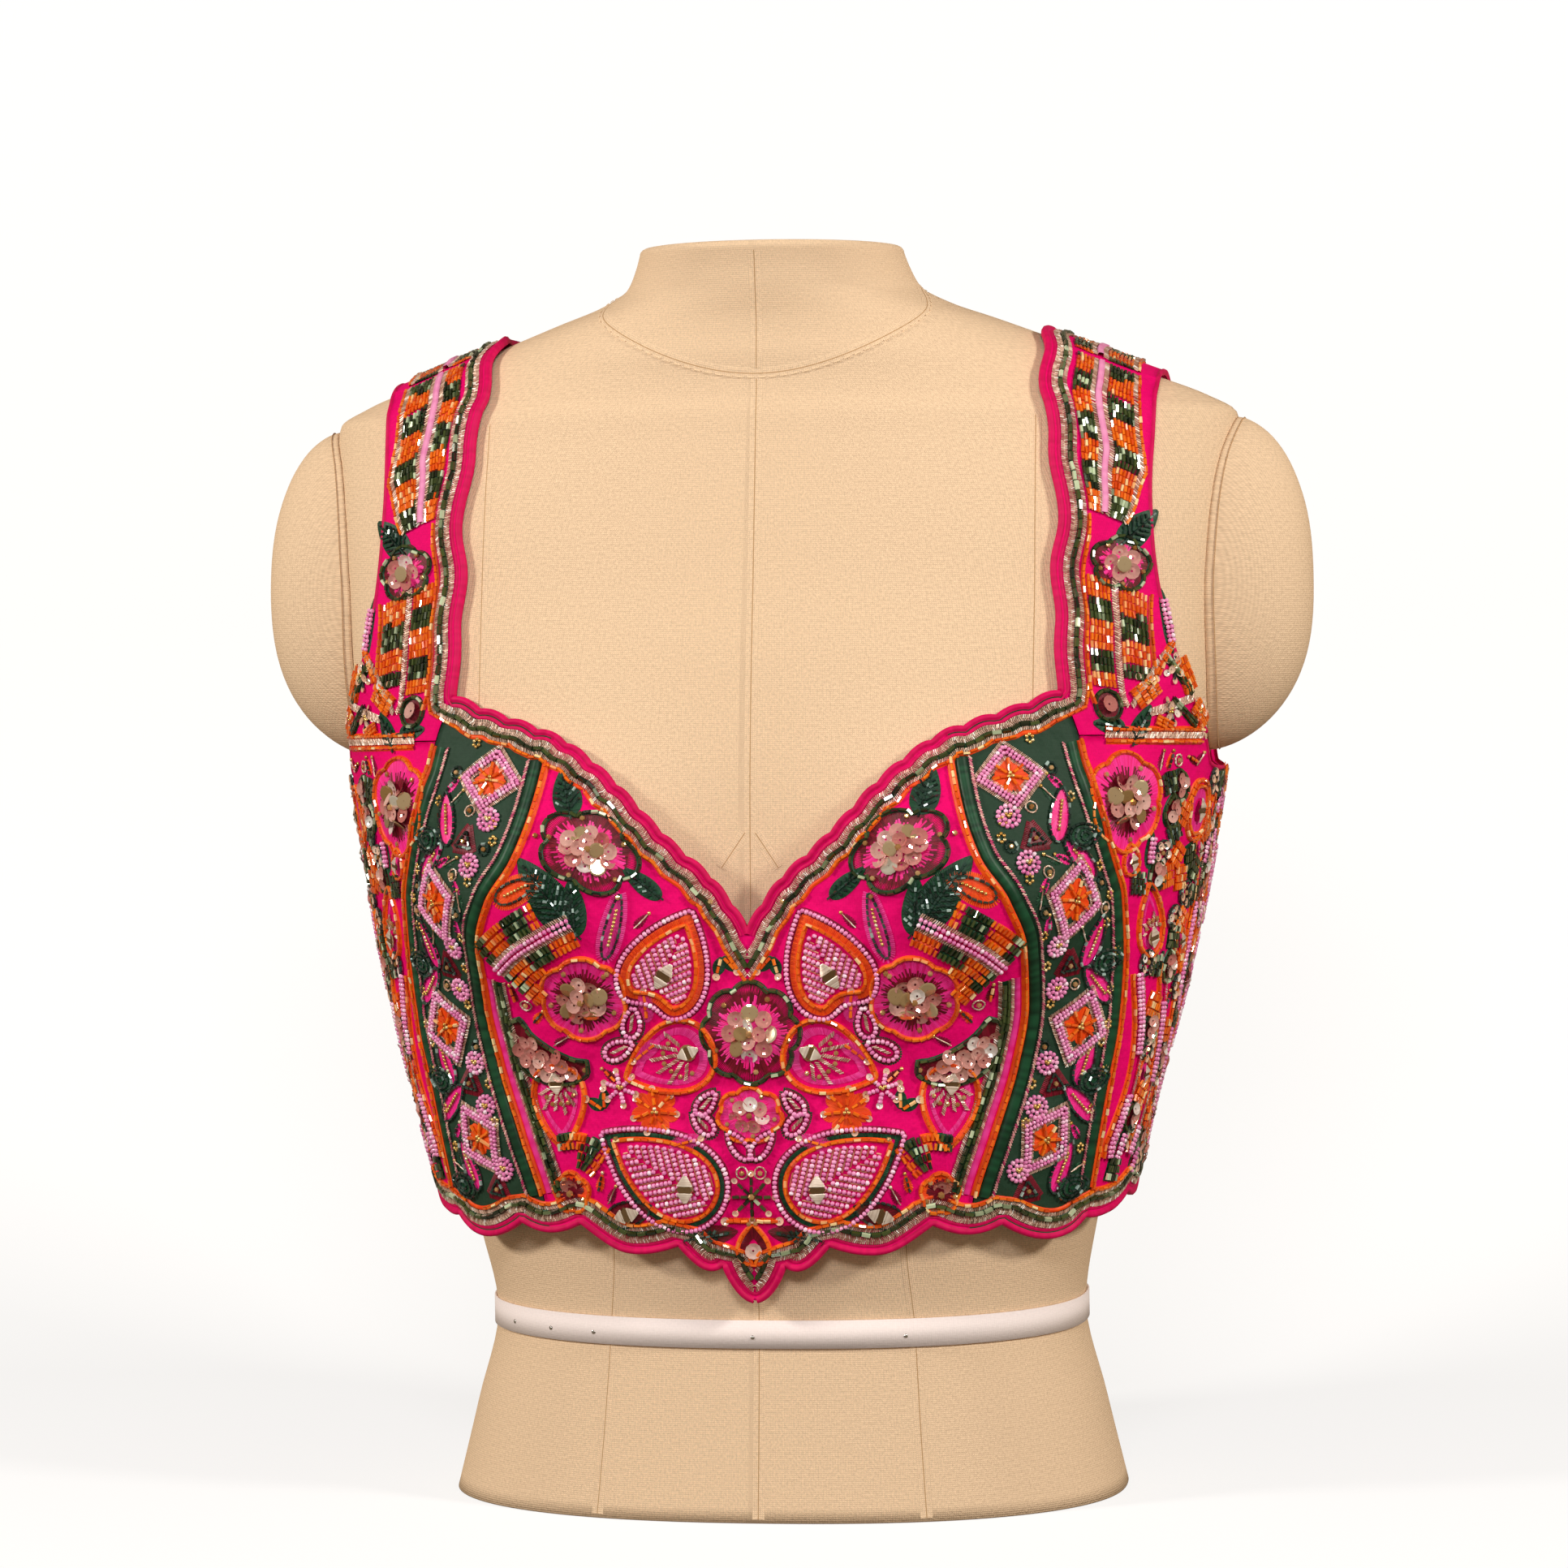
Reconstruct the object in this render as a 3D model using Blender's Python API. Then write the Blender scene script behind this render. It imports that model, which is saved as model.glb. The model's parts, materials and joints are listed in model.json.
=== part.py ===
"""Embroidered choli blouse on a limbless dress form, in metres, +Z up, front towards -Y.

The form stands on its flat underside. The blouse is worn on it as separate cut panels:
a centre front, two green bands, two side fronts, two shoulder straps, two backs and a
closing strip. Every panel is a thin wall that follows one shared cloth surface.
"""
import math

import bmesh
import bpy
import numpy as np

# The form and the cloth
FORM_HEIGHT = 0.4925
AXIS_Y = 0.00655
CLOTH_WALL = 0.0020
SEAM_GAP = 0.0004
SHOULDER_LIFT = 0.0011
FORM_SIDES = 40
FORM_RINGS = 30

# Sections of the form, from its flat underside to the top of its neck
FORM_SECTIONS = (
    # height, half_width, front, back, squareness, set_back
    (0.0000, 0.1345, 0.098, 0.104, 2.30, 0.000),
    (0.0350, 0.1260, 0.095, 0.093, 2.30, 0.002),
    (0.0710, 0.1180, 0.093, 0.082, 2.30, 0.004),
    (0.1030, 0.1230, 0.088, 0.091, 2.30, -0.004),
    (0.1500, 0.1360, 0.087, 0.101, 2.30, -0.010),
    (0.2000, 0.1510, 0.096, 0.099, 2.35, -0.002),
    (0.2400, 0.1600, 0.104, 0.094, 2.45, 0.007),
    (0.2850, 0.1680, 0.109, 0.092, 2.70, 0.014),
    (0.3250, 0.1735, 0.106, 0.088, 2.95, 0.017),
    (0.3650, 0.1780, 0.099, 0.083, 2.90, 0.019),
    (0.3950, 0.1815, 0.092, 0.078, 2.60, 0.018),
    (0.4150, 0.1830, 0.086, 0.074, 2.25, 0.016),
    (0.4260, 0.1810, 0.081, 0.072, 2.10, 0.013),
    (0.4330, 0.1690, 0.075, 0.072, 2.00, 0.009),
    (0.4410, 0.1480, 0.069, 0.071, 2.00, 0.004),
    (0.4490, 0.1270, 0.065, 0.068, 2.00, 0.000),
    (0.4570, 0.1060, 0.060, 0.066, 2.00, -0.004),
    (0.4640, 0.0870, 0.057, 0.062, 2.00, -0.007),
    (0.4700, 0.0700, 0.055, 0.059, 2.00, -0.010),
    (0.4760, 0.0590, 0.053, 0.056, 2.00, -0.013),
    (0.4840, 0.0545, 0.051, 0.053, 2.00, -0.016),
    (0.4925, 0.0515, 0.050, 0.051, 2.00, -0.019),
)
NECK_EDGE = 0.0025

# The bust of the form: two soft rises, fuller above than below
BUST_ANGLE = math.radians(38)
BUST_HEIGHT = 0.238
BUST_RISE = 0.028
BUST_SPREAD = math.radians(20)
BUST_ABOVE = 0.052
BUST_BELOW = 0.036

# Room between form and cloth at four places round the body
EASE_ANGLES = (0.0, 40.0, 90.0, 180.0)
EASE = (
    # height, centre_front, bust, side, centre_back
    (0.075, 0.0060, 0.0080, 0.0130, 0.0080),
    (0.110, 0.0068, 0.0085, 0.0110, 0.0070),
    (0.150, 0.0070, 0.0075, 0.0075, 0.0050),
    (0.195, 0.0075, 0.0050, 0.0060, 0.0030),
    (0.236, 0.0080, 0.0010, 0.0055, 0.0018),
    (0.285, 0.0060, 0.0014, 0.0050, 0.0012),
    (0.320, 0.0025, 0.0012, 0.0030, 0.0010),
    (0.360, 0.0010, 0.0009, 0.0010, 0.0009),
    (0.4925, 0.0008, 0.0008, 0.0008, 0.0008),
)

# Panel seams, as distances out from the centre front
BAND_SEAMS = (
    # height, inner_seam, outer_seam
    (0.085, 0.0770, 0.1180),
    (0.122, 0.0820, 0.1235),
    (0.149, 0.0905, 0.1285),
    (0.175, 0.0985, 0.1335),
    (0.200, 0.1030, 0.1375),
    (0.222, 0.1035, 0.1388),
    (0.239, 0.0983, 0.1385),
    (0.254, 0.0885, 0.1355),
    (0.273, 0.0814, 0.1305),
    (0.291, 0.0774, 0.1258),
    (0.300, 0.0760, 0.1238),
    (0.317, 0.0740, 0.1176),
)
SIDE_SEAM = math.radians(95)
STRAP_BASE = 0.300
CORNER_HEIGHT = 0.3168

# The neckline of the front, centre to strap corner
NECKLINE = (
    # out, height
    (0.0000, 0.2271),
    (0.0074, 0.2385),
    (0.0150, 0.2480),
    (0.0257, 0.2573),
    (0.0383, 0.2697),
    (0.0497, 0.2818),
    (0.0623, 0.2927),
    (0.0734, 0.3001),
    (0.0845, 0.3045),
    (0.1040, 0.3112),
    (0.1176, 0.3168),
)
NECK_SCALLOP = 0.0130
NECK_SCALLOP_DEPTH = 0.0018

# The hem: the line that its cusps touch, and the lobes that hang below it
HEM = (
    # angle, height
    (0.0, 0.1000),
    (7.0, 0.1010),
    (17.0, 0.1085),
    (28.0, 0.1100),
    (40.0, 0.1165),
    (51.0, 0.1155),
    (64.0, 0.1135),
    (75.0, 0.1200),
    (95.0, 0.1240),
    (180.0, 0.1240),
)
HEM_LOBES = (
    # from_angle, to_angle, drop
    (-7.0, 7.0, 0.0140),
    (7.0, 17.0, 0.0050),
    (17.0, 38.0, 0.0050),
    (38.0, 51.0, 0.0045),
    (51.0, 68.0, 0.0060),
    (68.0, 81.5, 0.0045),
    (81.5, 95.0, 0.0045),
    (95.0, 109.5, 0.0045),
    (109.5, 124.0, 0.0045),
    (124.0, 138.0, 0.0045),
    (138.0, 152.0, 0.0045),
    (152.0, 166.0, 0.0045),
    (166.0, 180.0, 0.0045),
)

# The top edge of the side front, by angle round the body
SIDE_FRONT_TOP = (
    # angle, height
    (55.0, 0.3000),
    (73.6, 0.3000),
    (77.5, 0.2878),
    (82.0, 0.2855),
    (95.0, 0.2848),
)
# The top edge of the back, from side seam to centre back
BACK_TOP = (
    # angle, height
    (95.0, 0.2848),
    (101.5, 0.2866),
    (106.0, 0.3000),
    (132.0, 0.3000),
    (135.5, 0.2900),
    (143.0, 0.2640),
    (156.0, 0.2420),
    (168.0, 0.2340),
    (180.0, 0.2320),
)

# The shoulder strap, from its front base over the shoulder to its back base
SHOULDER_AXIS_Y = 0.004
STRAP = (
    # along, inner_edge, outer_edge
    (0.000, 0.1238, 0.1690),
    (0.045, 0.1176, 0.1655),
    (0.080, 0.1166, 0.1620),
    (0.130, 0.1153, 0.1565),
    (0.190, 0.1162, 0.1520),
    (0.230, 0.1165, 0.1505),
    (0.280, 0.1127, 0.1498),
    (0.340, 0.1100, 0.1505),
    (0.430, 0.1085, 0.1520),
    (0.500, 0.1082, 0.1530),
    (0.600, 0.1075, 0.1530),
    (0.750, 0.1055, 0.1540),
    (0.900, 0.1045, 0.1610),
    (1.000, 0.1035, 0.1685),
)
STRAP_WAVES = 11
STRAP_WAVE_DEPTH = 0.0011

# Padded flowers, leaf shapes and bead-filled ribbons that stand up from the front
RAISED = (
    # out, height, half_width, half_height, tilt, rise
    (0.0000, 0.1891, 0.0185, 0.0185, 0.0, 0.0026),
    (0.0299, 0.2161, 0.0165, 0.0225, -20.0, 0.0016),
    (0.0313, 0.1352, 0.0240, 0.0170, -30.0, 0.0018),
    (0.0595, 0.2583, 0.0185, 0.0160, 20.0, 0.0026),
    (0.0632, 0.2029, 0.0170, 0.0170, 0.0, 0.0024),
    (0.0775, 0.1827, 0.0170, 0.0110, -25.0, 0.0026),
    (0.0000, 0.1577, 0.0125, 0.0115, 0.0, 0.0018),
    (0.0858, 0.2177, 0.0170, 0.0170, 0.0, 0.0015),
    (0.0983, 0.2847, 0.0120, 0.0120, 0.0, 0.0012),
    (0.1181, 0.2386, 0.0120, 0.0150, 0.0, 0.0012),
    (0.1243, 0.1864, 0.0110, 0.0150, 0.0, 0.0012),
    (0.1092, 0.1472, 0.0110, 0.0130, 0.0, 0.0012),
    (0.1386, 0.2788, 0.0140, 0.0170, 0.0, 0.0024),
)
RAISED_EDGE = 0.35
STRAP_RIBBON_RISE = 0.0014

# How finely each wall is divided
CENTRE_COLUMNS = 52
CENTRE_ROWS = 22
FRONT_ROWS = 18
BAND_COLUMNS = 8
SIDE_COLUMNS = 10
BACK_COLUMNS = 26
BACK_ROWS = 9
STRAP_ROWS = 50
STRAP_COLUMNS = 6

# The rounded ends of the form's shoulders
CAP_HEIGHT = 0.3580
CAP_HALF_HEIGHT = 0.0660
CAP_HALF_DEPTH = 0.0400
CAP_SET_BACK = 0.0110
CAP_BULGE = 0.0335
CAP_LOWER_FULLNESS = 0.22
CAP_GAP = 0.0003
CAP_SPOKES = 20
CAP_RINGS = 7

# The tape round the form's waist and the strip that closes the back
TAPE_HEIGHT = 0.0715
TAPE_WIDTH = 0.0108
TAPE_THICKNESS = 0.0008
TAPE_GAP = 0.0003
TAPE_SIDES = 40
PLACKET_WIDTH = 0.016
PLACKET_THICKNESS = 0.0015
PLACKET_GAP = 0.0003
PLACKET_ROWS = 9
PLACKET_END_GAP = 0.0060

COLOURS = {
    # finish: (red, green, blue), roughness
    "linen": ((0.70, 0.50, 0.32), 0.85),
    "pink_silk": ((0.78, 0.004, 0.15), 0.55),
    "green_silk": ((0.01, 0.10, 0.05), 0.6),
    "tape": ((0.72, 0.52, 0.52), 0.6),
}


def smooth_table(table, column, at):
    """A column of a table, read at the given values of its first column without overshoot."""
    xs = np.array([row[0] for row in table])
    ys = np.array([row[column] for row in table])
    at = np.clip(np.asarray(at, float), xs[0], xs[-1])
    steps = np.diff(xs)
    rates = np.diff(ys) / steps
    slopes = np.zeros(len(xs))
    same_way = rates[:-1] * rates[1:] > 0
    weight_a = 2 * steps[1:] + steps[:-1]
    weight_b = steps[1:] + 2 * steps[:-1]
    safe_a = np.where(same_way, rates[:-1], 1.0)
    safe_b = np.where(same_way, rates[1:], 1.0)
    middle = (weight_a + weight_b) / (weight_a / safe_a + weight_b / safe_b)
    slopes[1:-1] = np.where(same_way, middle, 0.0)
    slopes[0] = rates[0]
    slopes[-1] = rates[-1]
    left = np.clip(np.searchsorted(xs, at, side="right") - 1, 0, len(xs) - 2)
    step = steps[left]
    t = (at - xs[left]) / step
    start = (1 + 2 * t) * (1 - t) ** 2 * ys[left] + t * (1 - t) ** 2 * step * slopes[left]
    end = t**2 * (3 - 2 * t) * ys[left + 1] + t**2 * (t - 1) * step * slopes[left + 1]
    return start + end


def form_radius(angle, height):
    """How far the form's skin is from its section's centre, angle 0 at the front."""
    half_width = smooth_table(FORM_SECTIONS, 1, height)
    front = smooth_table(FORM_SECTIONS, 2, height)
    back = smooth_table(FORM_SECTIONS, 3, height)
    power = smooth_table(FORM_SECTIONS, 4, height)
    depth = np.where(np.cos(angle) > 0, front, back)
    across = np.abs(np.sin(angle) / half_width) ** power
    along = np.abs(np.cos(angle) / depth) ** power
    radius = (across + along) ** (-1 / power)
    rise = np.where(height > BUST_HEIGHT, BUST_ABOVE, BUST_BELOW)
    by_height = np.exp(-(((height - BUST_HEIGHT) / rise) ** 2))
    by_angle = np.exp(-(((np.abs(angle) - BUST_ANGLE) / BUST_SPREAD) ** 2))
    return radius + BUST_RISE * by_height * by_angle


def set_back(height):
    """How far a section's centre lies behind the form's axis."""
    return smooth_table(FORM_SECTIONS, 5, height)


def ease(angle, height):
    """Room between form and cloth."""
    turn = np.clip(np.abs(np.degrees(angle)), 0, 180)
    columns = [smooth_table(EASE, i + 1, height) for i in range(len(EASE_ANGLES))]
    room = np.zeros(np.broadcast(turn, height).shape)
    for i in range(len(EASE_ANGLES) - 1):
        low, high = EASE_ANGLES[i], EASE_ANGLES[i + 1]
        t = np.clip((turn - low) / (high - low), 0, 1)
        blend = t * t * (3 - 2 * t)
        here = (turn >= low) & ((turn < high) | (high == EASE_ANGLES[-1]))
        room = np.where(here, columns[i] * (1 - blend) + columns[i + 1] * blend, room)
    return room


def cloth_radius(angle, height):
    """How far the inside of the cloth is from its section's centre."""
    return form_radius(angle, height - SHOULDER_LIFT) + ease(angle, height)


def on_surface(radius_of, angle, height):
    """Points at these angles and heights on the form or on the inside of the cloth."""
    radius = radius_of(angle, height)
    x = radius * np.sin(angle)
    y = AXIS_Y + set_back(height) - radius * np.cos(angle)
    return np.stack(np.broadcast_arrays(x, y, height), axis=-1)


def outside(radius_of, points):
    """How far points lie outside a surface, measured away from the axis."""
    x = points[..., 0]
    y = points[..., 1] - AXIS_Y - set_back(points[..., 2])
    return np.hypot(x, y) - radius_of(np.arctan2(x, -y), points[..., 2])


def normals(radius_of, points):
    """Outward directions of the surface at these points."""
    step = 0.0004
    gradient = []
    for axis in np.eye(3) * step:
        rise = outside(radius_of, points + axis) - outside(radius_of, points - axis)
        gradient.append(rise)
    gradient = np.stack(gradient, axis=-1)
    return gradient / np.linalg.norm(gradient, axis=-1, keepdims=True)


def angle_at(out, height):
    """The angle round the body where the cloth is this far out from the centre front."""
    out = np.asarray(out, float)
    low = np.zeros(np.broadcast(out, height).shape)
    high = np.full(low.shape, math.radians(90))
    for _ in range(30):
        middle = (low + high) / 2
        short = cloth_radius(middle, height) * np.sin(middle) < np.abs(out)
        low = np.where(short, middle, low)
        high = np.where(short, high, middle)
    return np.sign(out) * (low + high) / 2


def over_shoulder(out, turn):
    """Cloth points on rays that turn from straight ahead, over the shoulder, to the back."""
    near = np.zeros(np.broadcast(out, turn).shape)
    far = near + 0.25
    out = out + near
    turn = turn + near

    def along_ray(distance):
        y = AXIS_Y + SHOULDER_AXIS_Y - distance * np.cos(turn)
        return np.stack((out, y, STRAP_BASE + distance * np.sin(turn)), axis=-1)

    for _ in range(34):
        middle = (near + far) / 2
        inside = outside(cloth_radius, along_ray(middle)) < 0
        near = np.where(inside, middle, near)
        far = np.where(inside, far, middle)
    return along_ray((near + far) / 2)


def hem_height(angle):
    """The hem, with its hanging lobes."""
    turn = np.abs(np.degrees(angle))
    height = smooth_table(HEM, 1, turn)
    for start, end, drop in HEM_LOBES:
        t = np.clip((turn - start) / (end - start), 0, 1)
        height = height - drop * np.sin(math.pi * t) ** 0.8
    return height


def edge_length(table, at):
    """Distance along an edge given by a table of out and height, from its first row."""
    fine = np.linspace(table[0][0], table[-1][0], 300)
    heights = smooth_table(table, 1, fine)
    runs = np.hypot(np.diff(fine), np.diff(heights))
    return np.interp(at, fine, np.concatenate(([0.0], np.cumsum(runs))))


def neckline_height(out):
    """The front neckline, with its scallops standing up."""
    out = np.abs(out)
    run = edge_length(NECKLINE, out)
    total = edge_length(NECKLINE, NECKLINE[-1][0])
    count = round(float(total / NECK_SCALLOP))
    wave = np.abs(np.sin(math.pi * count * run / total)) ** 0.8
    return smooth_table(NECKLINE, 1, out) + NECK_SCALLOP_DEPTH * (wave - 0.5)


def raised_height(points):
    """How far the worked motifs stand up at these points of the front."""
    out = np.abs(points[..., 0])
    height = points[..., 2]
    rise = np.zeros(out.shape)
    for centre, level, half_width, half_height, tilt, top in RAISED:
        lean = math.radians(tilt)
        du = (out - centre) * math.cos(lean) + (height - level) * math.sin(lean)
        dv = (height - level) * math.cos(lean) - (out - centre) * math.sin(lean)
        reach = np.hypot(du / half_width, dv / half_height)
        t = np.clip((1 + RAISED_EDGE / 2 - reach) / RAISED_EDGE, 0, 1)
        rise = np.maximum(rise, top * t * t * (3 - 2 * t))
    return np.where(points[..., 1] < AXIS_Y, rise, 0.0)


def finish_object(name, bm, finish):
    """Turns a bmesh into a smooth-shaded object with its own material."""
    bmesh.ops.recalc_face_normals(bm, faces=bm.faces)
    mesh = bpy.data.meshes.new(name)
    bm.to_mesh(mesh)
    bm.free()
    mesh.shade_smooth()
    mesh.set_sharp_from_angle(angle=math.radians(50))
    colour, roughness = COLOURS[finish]
    material = bpy.data.materials.new(name + "_" + finish)
    material.use_nodes = True
    shader = material.node_tree.nodes["Principled BSDF"]
    shader.inputs["Base Color"].default_value = (*colour, 1.0)
    shader.inputs["Roughness"].default_value = roughness
    shader.inputs["Metallic"].default_value = 0.0
    mesh.materials.append(material)
    thing = bpy.data.objects.new(name, mesh)
    bpy.context.scene.collection.objects.link(thing)
    return thing


def wall(name, inner, outer, finish):
    """A closed cloth wall between two grids of points."""
    rows, columns = inner.shape[:2]
    bm = bmesh.new()
    inside = [[bm.verts.new(p) for p in row] for row in inner]
    outside_grid = [[bm.verts.new(p) for p in row] for row in outer]
    for i in range(rows - 1):
        for j in range(columns - 1):
            for grid in (inside, outside_grid):
                bm.faces.new((grid[i][j], grid[i][j + 1], grid[i + 1][j + 1], grid[i + 1][j]))
    rim = [(0, j) for j in range(columns)]
    rim += [(i, columns - 1) for i in range(1, rows)]
    rim += [(rows - 1, j) for j in range(columns - 2, -1, -1)]
    rim += [(i, 0) for i in range(rows - 2, 0, -1)]
    for k, (i, j) in enumerate(rim):
        m, n = rim[(k + 1) % len(rim)]
        bm.faces.new((inside[i][j], inside[m][n], outside_grid[m][n], outside_grid[i][j]))
    return finish_object(name, bm, finish)


def mirrored(points, side):
    """Points on the wearer's left as they are, or mirrored to the right."""
    return points * np.array((side, 1.0, 1.0))


def panel(name, side, angles, heights, finish):
    """A cloth wall through a grid of angles and heights."""
    inner = on_surface(cloth_radius, angles, heights)
    lift = CLOTH_WALL + raised_height(inner)
    outer = inner + normals(cloth_radius, inner) * lift[..., None]
    return wall(name, mirrored(inner, side), mirrored(outer, side), finish)


def rows_between(low, high, count):
    """Heights from low to high, one row of the grid for each."""
    share = np.linspace(0, 1, count + 1)[:, None]
    return low[None, :] * (1 - share) + high[None, :] * share


def settle(edge, angle_of, start):
    """The height where an edge that depends on the angle meets a line that depends on it."""
    height = np.full_like(np.asarray(start, float), 0.0) + start
    for _ in range(25):
        height = 0.5 * height + 0.5 * edge(angle_of(height), height)
    return height


def seam_angle(column, height, shift):
    """The angle of a band seam, moved sideways by shift."""
    return angle_at(smooth_table(BAND_SEAMS, column, height) + shift, height)


def front_neck(angle, height):
    """The neckline's height where the cloth at this angle and height lies."""
    return neckline_height(cloth_radius(angle, height) * np.sin(angle))


def centre_front():
    """The middle panel, from band to band, with the pointed neckline and hem."""
    share = np.linspace(-1, 1, CENTRE_COLUMNS + 1)

    def angle_of(height):
        return share * seam_angle(1, height, -SEAM_GAP / 2)

    low = settle(lambda angle, height: hem_height(angle), angle_of, 0.11)
    high = settle(front_neck, angle_of, np.full_like(share, 0.27))
    heights = rows_between(low, high, CENTRE_ROWS)
    angles = share[None, :] * seam_angle(1, heights, -SEAM_GAP / 2)
    return panel("centre_front", 1.0, angles, heights, "pink_silk")


def front_band(name, side):
    """The green band that covers the bust seam, from neckline to hem."""
    share = np.linspace(0, 1, BAND_COLUMNS + 1)

    def angle_of(height):
        start = seam_angle(1, height, SEAM_GAP / 2)
        end = seam_angle(2, height, -SEAM_GAP / 2)
        return start * (1 - share) + end * share

    low = settle(lambda angle, height: hem_height(angle), angle_of, np.full_like(share, 0.11))
    high = settle(front_neck, angle_of, np.full_like(share, 0.30))
    heights = rows_between(low, high, FRONT_ROWS)
    return panel(name, side, angle_of(heights), heights, "green_silk")


def side_front(name, side):
    """The panel from the band round to the side seam, under the arm."""
    share = np.linspace(0, 1, SIDE_COLUMNS + 1)

    def angle_of(height):
        start = seam_angle(2, height, SEAM_GAP / 2)
        end = SIDE_SEAM - SEAM_GAP / 2 / cloth_radius(SIDE_SEAM, height)
        return start * (1 - share) + end * share

    def top_edge(angle, height):
        return smooth_table(SIDE_FRONT_TOP, 1, np.degrees(angle)) - SEAM_GAP / 2

    low = settle(lambda angle, height: hem_height(angle), angle_of, np.full_like(share, 0.115))
    high = settle(top_edge, angle_of, np.full_like(share, 0.29))
    heights = rows_between(low, high, FRONT_ROWS)
    return panel(name, side, angle_of(heights), heights, "pink_silk")


def back(name, side):
    """One half of the back, from the side seam to the opening at the centre back."""
    share = np.linspace(0, 1, BACK_COLUMNS + 1)

    def angle_of(height):
        start = SIDE_SEAM + SEAM_GAP / 2 / cloth_radius(SIDE_SEAM, height)
        end = math.pi - SEAM_GAP / 2 / cloth_radius(math.pi, height)
        return start * (1 - share) + end * share

    def top_edge(angle, height):
        return smooth_table(BACK_TOP, 1, np.degrees(angle)) - SEAM_GAP / 2

    low = settle(lambda angle, height: hem_height(angle), angle_of, np.full_like(share, 0.12))
    high = settle(top_edge, angle_of, np.full_like(share, 0.27))
    heights = rows_between(low, high, BACK_ROWS)
    return panel(name, side, angle_of(heights), heights, "pink_silk")


def strap(name, side):
    """A shoulder strap from the front corner of the neckline over to the back."""
    turns = np.linspace(0, math.pi, 240)
    middle = over_shoulder(np.full_like(turns, 0.133), turns)
    runs = np.linalg.norm(np.diff(middle, axis=0), axis=1)
    length = np.concatenate(([0.0], np.cumsum(runs)))
    end_gap = SEAM_GAP / 2 / length[-1]
    along = np.linspace(end_gap, 1 - end_gap, STRAP_ROWS + 1)
    turn = np.interp(along, length / length[-1], turns)
    wave = STRAP_WAVE_DEPTH * np.sin(2 * math.pi * STRAP_WAVES * along)
    fade = np.clip(np.minimum(along - 0.05, 1 - along) / 0.06, 0, 1)
    free_inner = smooth_table(STRAP, 1, along) + wave * fade
    outer_edge = smooth_table(STRAP, 2, along)
    inner_edge = free_inner
    for _ in range(8):
        height = over_shoulder(inner_edge, turn)[..., 2]
        on_band = smooth_table(BAND_SEAMS, 2, height) + SEAM_GAP / 2
        by_seam = (along < 0.2) & (height < CORNER_HEIGHT)
        inner_edge = np.where(by_seam, on_band, free_inner)
    share = np.linspace(0, 1, STRAP_COLUMNS + 1)
    outs = inner_edge[:, None] * (1 - share) + outer_edge[:, None] * share
    inner = over_shoulder(outs, turn[:, None] + 0 * outs)
    ribbon = np.sin(math.pi * np.clip((share - 0.12) / 0.62, 0, 1)) ** 0.5
    lift = CLOTH_WALL + STRAP_RIBBON_RISE * ribbon[None, :] * np.ones_like(outs)
    outer = inner + normals(cloth_radius, inner) * lift[..., None]
    return wall(name, mirrored(inner, side), mirrored(outer, side), "pink_silk")


def placket():
    """The strip on the right back that covers the hooked opening at the centre back."""
    bottom = float(hem_height(np.array(math.pi))) + PLACKET_END_GAP
    top = BACK_TOP[-1][1] - PLACKET_END_GAP / 2
    heights = np.linspace(bottom, top, PLACKET_ROWS + 1)[:, None]
    across = np.linspace(-0.5, 0.5, 5)[None, :] * PLACKET_WIDTH
    angles = math.pi + across / cloth_radius(np.array(math.pi), heights)
    cloth = on_surface(cloth_radius, angles, heights + 0 * across)
    away = normals(cloth_radius, cloth)
    inner = cloth + away * (CLOTH_WALL + PLACKET_GAP)
    outer = inner + away * PLACKET_THICKNESS
    return wall("back_placket", inner, outer, "pink_silk")


def form_torso():
    """The form's body: a closed solid through its sections, flat below and at the neck."""
    knots = np.array([row[0] for row in FORM_SECTIONS])
    spread = np.linspace(0, len(knots) - 1, FORM_RINGS)
    heights = np.interp(spread, np.arange(len(knots)), knots)
    tape_edges = TAPE_HEIGHT + np.array((-0.5, 0.5)) * TAPE_WIDTH
    heights = np.union1d(heights[np.abs(heights - TAPE_HEIGHT) > TAPE_WIDTH], tape_edges)
    angles = np.linspace(0, 2 * math.pi, FORM_SIDES, endpoint=False)
    angles = (angles + math.pi) % (2 * math.pi) - math.pi
    rings = [on_surface(form_radius, angles, np.full_like(angles, h)) for h in heights]
    rings[-1][:, 2] -= NECK_EDGE
    lid = rings[-1].copy()
    middle = lid.mean(axis=0)
    lid[:, :2] = middle[:2] + (lid[:, :2] - middle[:2]) * (1 - NECK_EDGE / FORM_SECTIONS[-1][1])
    lid[:, 2] = FORM_HEIGHT
    rings.append(lid)
    bm = bmesh.new()
    loops = [[bm.verts.new(p) for p in ring] for ring in rings]
    for lower, upper in zip(loops, loops[1:]):
        for j in range(FORM_SIDES):
            k = (j + 1) % FORM_SIDES
            bm.faces.new((lower[j], lower[k], upper[k], upper[j]))
    bm.faces.new(loops[0])
    bm.faces.new(loops[-1])
    return finish_object("form_torso", bm, "linen")


def form_side(y, height):
    """How far out the form's side is, at this depth and height."""
    half_width = smooth_table(FORM_SECTIONS, 1, height)
    front = smooth_table(FORM_SECTIONS, 2, height)
    rear = smooth_table(FORM_SECTIONS, 3, height)
    power = smooth_table(FORM_SECTIONS, 4, height)
    offset = y - AXIS_Y - set_back(height)
    depth = np.where(offset < 0, front, rear)
    return half_width * (1 - np.abs(offset / depth) ** power) ** (1 / power)


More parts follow.
